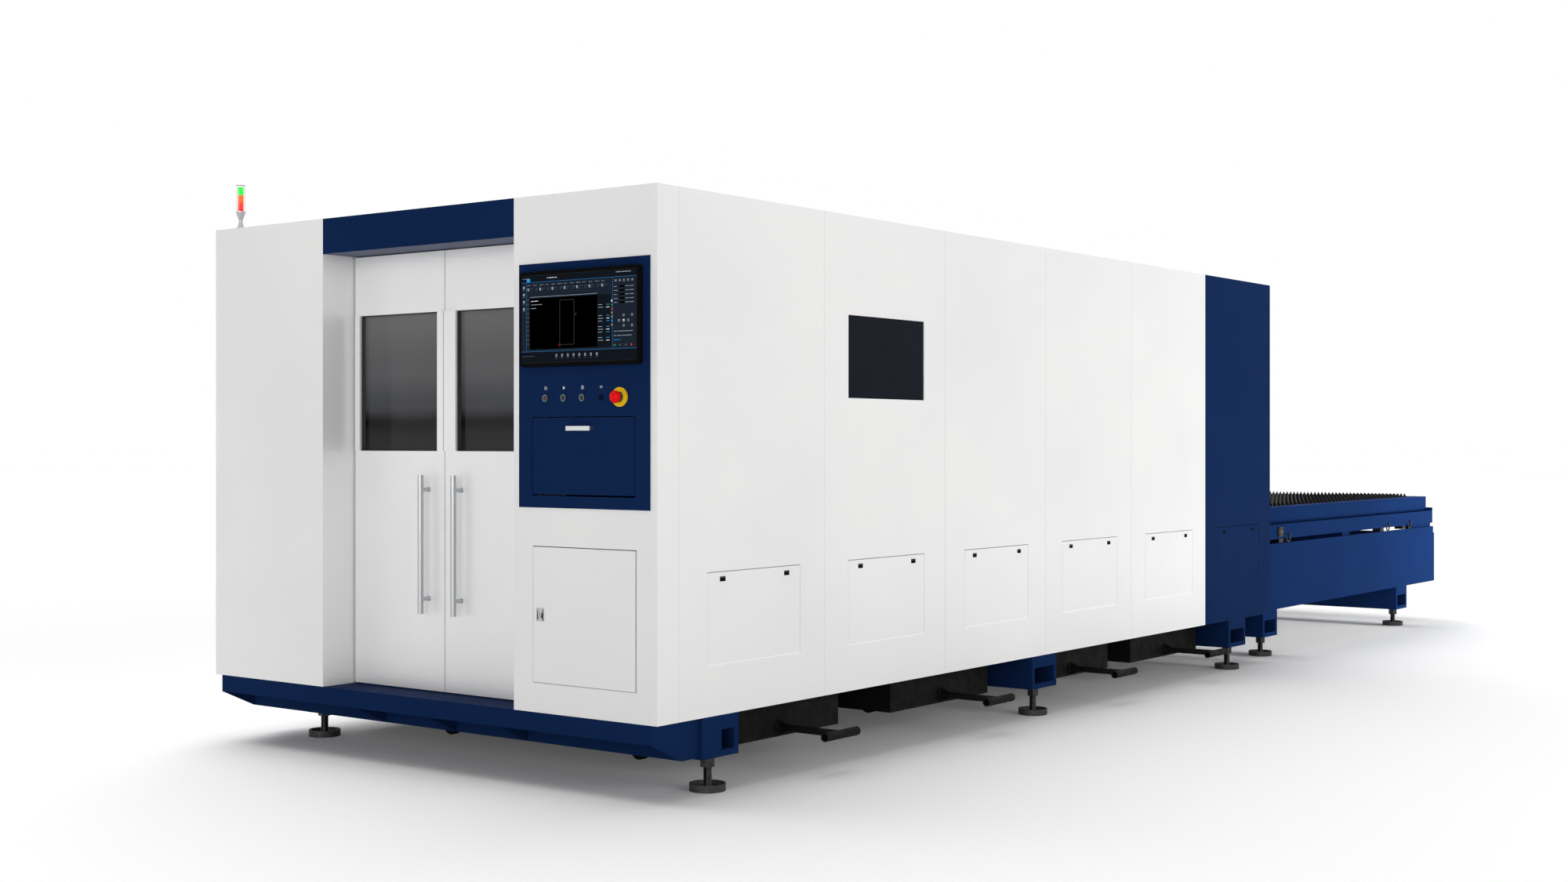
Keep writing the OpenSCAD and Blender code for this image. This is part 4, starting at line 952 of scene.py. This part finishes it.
# %% [markdown]
# ## Threaded stems
# The feet are levelled on threaded stems. A thread is a ridge that climbs one pitch per turn, so the
# radius of each point depends on its height plus its share of a turn. Stems of this size have a pitch of
# 3.5 mm; it is drawn at 5 mm, which is about the least that shows. All stems are one CAD node, so its
# points are first sorted into one group a stem.

# %% Places of the stems
STEM_APART = 60
groups = []
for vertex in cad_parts["foot_stems"].data.vertices:
    point = (vertex.co - ORIGIN) / MM
    for group in groups:
        if (group[0] - point).to_2d().length < STEM_APART:
            group.append(point)
            break
    else:
        groups.append([point])
print(len(groups), "stems")

# %% Threads
PITCH = 5
RIDGE = 1.7
AROUND = 20
ROWS_A_TURN = 4
STEM_R = 14.9
mesh = bmesh.new()
for group in groups:
    x, y = ((min(p[axis] for p in group) + max(p[axis] for p in group)) / 2 for axis in (0, 1))
    z0, z1 = min(p.z for p in group), max(p.z for p in group)
    rows = int((z1 - z0) / PITCH * ROWS_A_TURN)
    rings = []
    for r in range(rows + 1):
        z = z0 + (z1 - z0) * r / rows
        ring = []
        for k in range(AROUND):
            phase = (z / PITCH - k / AROUND) % 1
            radius = STEM_R - RIDGE * abs(2 * phase - 1)
            t = 2 * math.pi * k / AROUND
            ring.append(mesh.verts.new(at(x + radius * math.cos(t), y + radius * math.sin(t), z)))
        rings.append(ring)
    for ring, following in zip(rings, rings[1:]):
        add_band(mesh, ring, following)
    mesh.faces.new(rings[0])
    mesh.faces.new(rings[-1])
stems = piece("threaded_stems", mesh, "machine", [black_steel], smooth=50)
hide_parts("foot_stems")

# %% [markdown]
# ## Emergency stop collar and the power lamp
# A dark collar fills the space between the stop's yellow ring and its mushroom, with room for the stroke.
# It is a turned ring with a hole through it, so its last row of points joins the first. The power button
# has a small red lamp in its middle.

# %% Stop collar
COLLAR = [(17, 0), (17, 2), (15.5, 3), (15.5, 5), (14.5, 6), (14.5, 8), (11.6, 8), (11.6, 0)]
COLLAR_SIDES = 36
lo, hi = drawn("stop_ring")
centre = at((lo.x + hi.x) / 2, lo.y, (lo.z + hi.z) / 2)
angles = [2 * math.pi * k / COLLAR_SIDES for k in range(COLLAR_SIDES)]
mesh = bmesh.new()
rows = [[mesh.verts.new(centre + Vector((math.cos(t) * radius, -reach, math.sin(t) * radius)) * MM)
         for t in angles] for radius, reach in COLLAR]
for row, following in zip(rows, rows[1:] + rows[:1]):
    add_band(mesh, row, following)
piece("stop_collar", mesh, "machine", [grey_plastic_paddle_highlight], smooth=40)

# %% Power lamp
DOME = [(0.3, 0), (2.6, 0), (2.4, 0.5), (1.2, 0.9), (0.3, 1)]
DOME_SET = 0.2
# clear red cap over a small diode: a weak glow
red_lamp = lit("red_indicator", "#c8281e", 0.4, 1)
button_lo, button_hi = drawn("power_button")
button_x = (button_lo.x + button_hi.x) / 2
button_z = (button_lo.z + button_hi.z) / 2
mesh = bmesh.new()
add_turned(mesh, (button_x, button_lo.y + DOME_SET, button_z), DOME, (0, -1, 0), segments=16)
piece("power_lamp", mesh, "power_button_body", [red_lamp], smooth=60)

# %% [markdown]
# ## Signs over the buttons
# Plain signs stand over the buttons and the port, cut from thin white film: a broken ring for power, a
# triangle for start, a lamp with rays and a socket. Each is a set of flat outlines, drawn in millimetres
# from the middle of its button and then given the thickness of the film.

# %% Outlines of the signs
def arc(cx, cz, inner, outer, first, last, steps=20):
    """A part of a ring between two angles, which count from the top."""
    turn = [math.radians(first + (last - first) * k / steps) for k in range(steps + 1)]
    return ([(cx + outer * math.sin(t), cz + outer * math.cos(t)) for t in turn]
            + [(cx + inner * math.sin(t), cz + inner * math.cos(t)) for t in reversed(turn)])


def bar(cx, cz, length, thick, turn, out=0.0):
    """A bar that points away from a centre and starts at a distance from it."""
    a = math.radians(turn)
    u, v = Vector((math.sin(a), math.cos(a))), Vector((math.cos(a), -math.sin(a)))
    base = Vector((cx, cz)) + u * out
    return [tuple(base - v * thick / 2), tuple(base + v * thick / 2),
            tuple(base + u * length + v * thick / 2), tuple(base + u * length - v * thick / 2)]


def patch(x0, z0, x1, z1):
    """A rectangle between two corners."""
    return [(x0, z0), (x0, z1), (x1, z1), (x1, z0)]


print("arcs, bars and patches ready")

# %% Signs
SIGN_UP = 34
FILM = 0.25
SOCKET = ((-5, -3.4, -3.9, 3.4), (-3.9, 2.3, 5, 3.4), (-3.9, -3.4, 5, -2.3), (3.9, -2.3, 5, 2.3))
# printed polyester film: matt white, with a little dust
sign_film = mottled("white_printed_film", "#e6e7ea", "#d8dade", 5, (0.45, 0.6), 0.05, {"IOR": 1.5})
panel_y = drawn("control_panel")[0].y
power_x, start_x, light_x, port_x = (sum(corner.x for corner in drawn(name)) / 2 for name in
                                     ("power_button", "start_button", "lamp_button", "usb_port"))
sign_z = button_z + SIGN_UP
signs = [arc(power_x, sign_z, 4.6, 6, 35, 325), bar(power_x, sign_z, 6.5, 1.5, 0),
         [(start_x - 4.5, sign_z - 6), (start_x - 4.5, sign_z + 6), (start_x + 6, sign_z)],
         arc(light_x, sign_z, 2.2, 3.6, 0, 359.9, 24)]
signs += [bar(light_x, sign_z, 2.6, 1.2, turn, out=4.8) for turn in range(0, 360, 45)]
signs += [patch(port_x + x0, sign_z + z0, port_x + x1, sign_z + z1) for x0, z0, x1, z1 in SOCKET]
mesh = bmesh.new()
for sign in signs:
    add_prism(mesh, sign, panel_y - FILM, panel_y)
piece("button_signs", mesh, "machine", [sign_film])

# %% [markdown]
# ## The display's picture
# The control shows a dark working screen: a ribbon on top, tools on the left, a black drawing field
# with the outline of a sheet, readings and a jog pad on the right and a row of keys below. It is laid
# out from thin lit tiles on a front glass that laps over the bezel: unlike a picture file, they stay sharp
# at any distance. A tile lies on one of four layers, so it stands clear of the one below it.

# %% Tiles of the display
UI = {"field": "#000000", "base": "#151b24", "key": "#3c444e", "pale": "#78818b", "line": "#1a5583",
      "white": "#c3cbd0", "sheet": "#3a3331", "green": "#1f7a3a", "red": "#a82a24", "amber": "#a8722c",
      "cyan": "#1a77ad", "deep": "#0c1016"}
GLOW = 0.85
LAYER = 0.3
TILE_T = 0.27
GLASS_LEFT, GLASS_RIGHT = 5, 9
BACK, BLOCK, MARK, INK = 1, 2, 3, 3.6
ui_names = list(UI)
# pixels behind cover glass, lit from the back
ui_finishes = [lit(f"display_{name}", code, GLOW, 1) for name, code in UI.items()]
screen_lo, screen_hi = drawn("monitor_screen")
screen_lo.x -= GLASS_LEFT
screen_hi.x += GLASS_RIGHT
glass_y = drawn("monitor_bezel")[0].y
W = screen_hi.x - screen_lo.x
H = screen_hi.z - screen_lo.z
mesh = bmesh.new()


def tile(x0, z0, x1, z1, shade, layer=BACK):
    """A lit tile, in millimetres from the picture's lower left corner."""
    front = glass_y - LAYER * layer
    add_box(mesh, (screen_lo.x + x0, front, screen_lo.z + z0),
            (screen_lo.x + x1, front + TILE_T, screen_lo.z + z1), finish=ui_names.index(shade))


def dashes(x, z, lengths, shade, thick=1.6, gap=3):
    """A line of short dashes, as a reading looks from a distance."""
    for length in lengths:
        tile(x, z, x + length, z + thick, shade, INK)
        x += length + gap


print("picture", round(W), "x", round(H), "mm")

# %% Ground, ribbon and tools
# title bar, side strips, drawing field and key row
tile(1, 1, W - 1, H - 1, "base")
tile(1, H - 22, W - 1, H - 1, "deep", BLOCK)
tile(1, 1, W - 1, 36, "deep", BLOCK)
tile(40, 46, W - 172, H - 78, "field", BLOCK)
tile(W - 172, 46, W - 112, H - 78, "deep", BLOCK)
for z in (38, H - 24):
    tile(1, z, W - 1, z + 1.2, "line", MARK)
for x in (24, W - 104):
    tile(x, 38, x + 1, H - 24, "line", MARK)
tile(26, H - 22, 42, H - 12, "cyan", MARK)
dashes(8, H - 12, (4, 4, 6, 8), "pale")
dashes(120, H - 12, (5, 24, 10), "white")
dashes(W - 90, H - 9, (22, 40), "pale", 2)
# ribbon
for k in range(13):
    x = 30 + k * 28
    dashes(x, H - 34, (5 + 3 * (k % 3), 4), "pale", 1.4)
    if k % 2 == 0:
        tile(x, H - 52, x + 6, H - 43, "pale", INK)
    dashes(x + 9, H - 46, (9, 4), "key", 1.6)
    dashes(x + 9, H - 52, (6,), "key", 1.6)
tile(40, H - 74, W - 172, H - 72.8, "pale", MARK)
# tools on the left
for k in range(4):
    tile(9, H - 44 - k * 24, 16, H - 36 - k * 24, "pale", MARK)
    dashes(7, H - 49 - k * 24, (12,), "key", 1.8)
for k in range(11):
    tile(29, H - 84 - k * 15, 34, H - 79 - k * 15, "key", MARK)
print("ground and tools", len(mesh.faces), "faces")

# %% Drawing field and readings
# the sheet's outline in the drawing field, with its datum
sheet_x0, sheet_z0, sheet_x1, sheet_z1 = 178, 58, 244, H - 88
for box in ((sheet_x0, sheet_z0, sheet_x1, sheet_z0 + 1), (sheet_x0, sheet_z1 - 1, sheet_x1, sheet_z1),
            (sheet_x0, sheet_z0, sheet_x0 + 1, sheet_z1), (sheet_x1 - 1, sheet_z0, sheet_x1, sheet_z1)):
    tile(*box, "sheet", MARK)
tile(sheet_x0 - 3, sheet_z0 - 3, sheet_x0 + 4, sheet_z0 - 2, "red", INK)
tile(sheet_x0 - 3, sheet_z0 - 3, sheet_x0 - 2, sheet_z0 + 5, "red", INK)
tile(sheet_x1 + 4, 158, sheet_x1 + 11, 159, "key", INK)
tile(sheet_x1 + 7, 154, sheet_x1 + 8, 163, "key", INK)
dashes(46, H - 88, (10, 20), "white")
dashes(46, H - 100, (34, 14), "pale")
dashes(46, H - 112, (24,), "pale")
# readings beside the field, and the row of layer colours
for k, count in enumerate((2, 3, 3, 2)):
    for row in range(count):
        z = H - 112 - k * 36 - row * 9
        dashes(W - 168, z, (18 + 4 * (row % 2),), "pale")
        dashes(W - 132, z, (14,), "white" if row % 2 else "cyan")
for k, shade in enumerate(("white", "green", "red", "amber", "pale", "cyan", "amber")):
    tile(W - 110, H - 104 - k * 13, W - 106, H - 97 - k * 13, shade, INK)
print("with the drawing and its readings", len(mesh.faces), "faces")

# %% Right column and key row
# keys, fields, jog pad, sliders and four lamps
for k in range(5):
    tile(W - 96 + k * 18, H - 40, W - 86 + k * 18, H - 31, "key", MARK)
    tile(W - 93 + k * 18, H - 37, W - 89 + k * 18, H - 34, "pale", INK)
for k in range(5):
    z = H - 56 - k * 13
    dashes(W - 98, z, (12 + 3 * (k % 2),), "pale")
    tile(W - 74, z - 2, W - 54, z + 4, "field", MARK)
    dashes(W - 48, z, (14, 18), "pale")
for dx, dz, shade in ((0, 0, "white"), (0, 17, "pale"), (0, -17, "pale"), (20, 0, "pale"), (-20, 0, "pale"),
                      (36, 17, "pale"), (36, -17, "pale")):
    tile(W - 60 + dx, 126 + dz, W - 53 + dx, 133 + dz, shade, MARK)
    tile(W - 58.5 + dx, 127.5 + dz, W - 54.5 + dx, 131.5 + dz, "base", INK)
dashes(W - 98, 94, (14, 64), "pale")
dashes(W - 98, 80, (10, 20, 40), "pale")
dashes(W - 98, 66, (16, 8), "cyan")
for k, shade in enumerate(("green", "key", "key", "red")):
    tile(W - 98 + k * 24, 47, W - 92 + k * 24, 53, shade, INK)
# keys along the lower edge
dashes(6, 22, (30, 22), "key", 1.6)
for k in range(8):
    x = 160 + k * 26
    tile(x, 19, x + 7, 28, "pale", MARK)
    tile(x + 2, 21, x + 5, 26, "deep", INK)
    dashes(x - 2, 13, (11,), "key", 1.6)
piece("display_picture", mesh, "machine", ui_finishes)

# %% [markdown]
# ## Switch plate on the rail
# A small thick plate with four sunk screws sits on the outer face of the right roller rail, near the
# enclosure. Its face is dull grey steel; the screws sit in dark rings. A box with broken edges and four
# turned screws are enough at this size.

# %% Plate with four screws
PLATE_Y, PLATE_Z = 5389, 675
PLATE_HALF = (30, 26)
PLATE_T = 12
SCREW_OUT = (19, 15)
SCREW_SET = 1
SCREW = [(0.2, 0), (6.5, 0), (6.5, 1.6), (5.6, 2), (3.4, 2), (3, 1.3), (0.2, 1.3)]
# bare hot-rolled steel: dull, brownish grey, a soft sheen
plate_steel = mottled("bare_plate_steel", "#42423c", "#34342f", 12, (0.5, 0.65), 0.15, {"Metallic": 0.5})
plate_x = drawn("roller_rails")[1].x
mesh = bmesh.new()
add_box(mesh, (plate_x, PLATE_Y - PLATE_HALF[0], PLATE_Z - PLATE_HALF[1]),
        (plate_x + PLATE_T, PLATE_Y + PLATE_HALF[0], PLATE_Z + PLATE_HALF[1]), edge=1.2)
for y in (PLATE_Y - SCREW_OUT[0], PLATE_Y + SCREW_OUT[0]):
    for z in (PLATE_Z - SCREW_OUT[1], PLATE_Z + SCREW_OUT[1]):
        add_turned(mesh, (plate_x + PLATE_T - SCREW_SET, y, z), SCREW, (1, 0, 0), segments=18, finish=1)
piece("rail_switch_plate", mesh, "machine", [plate_steel, black_paint], smooth=35)
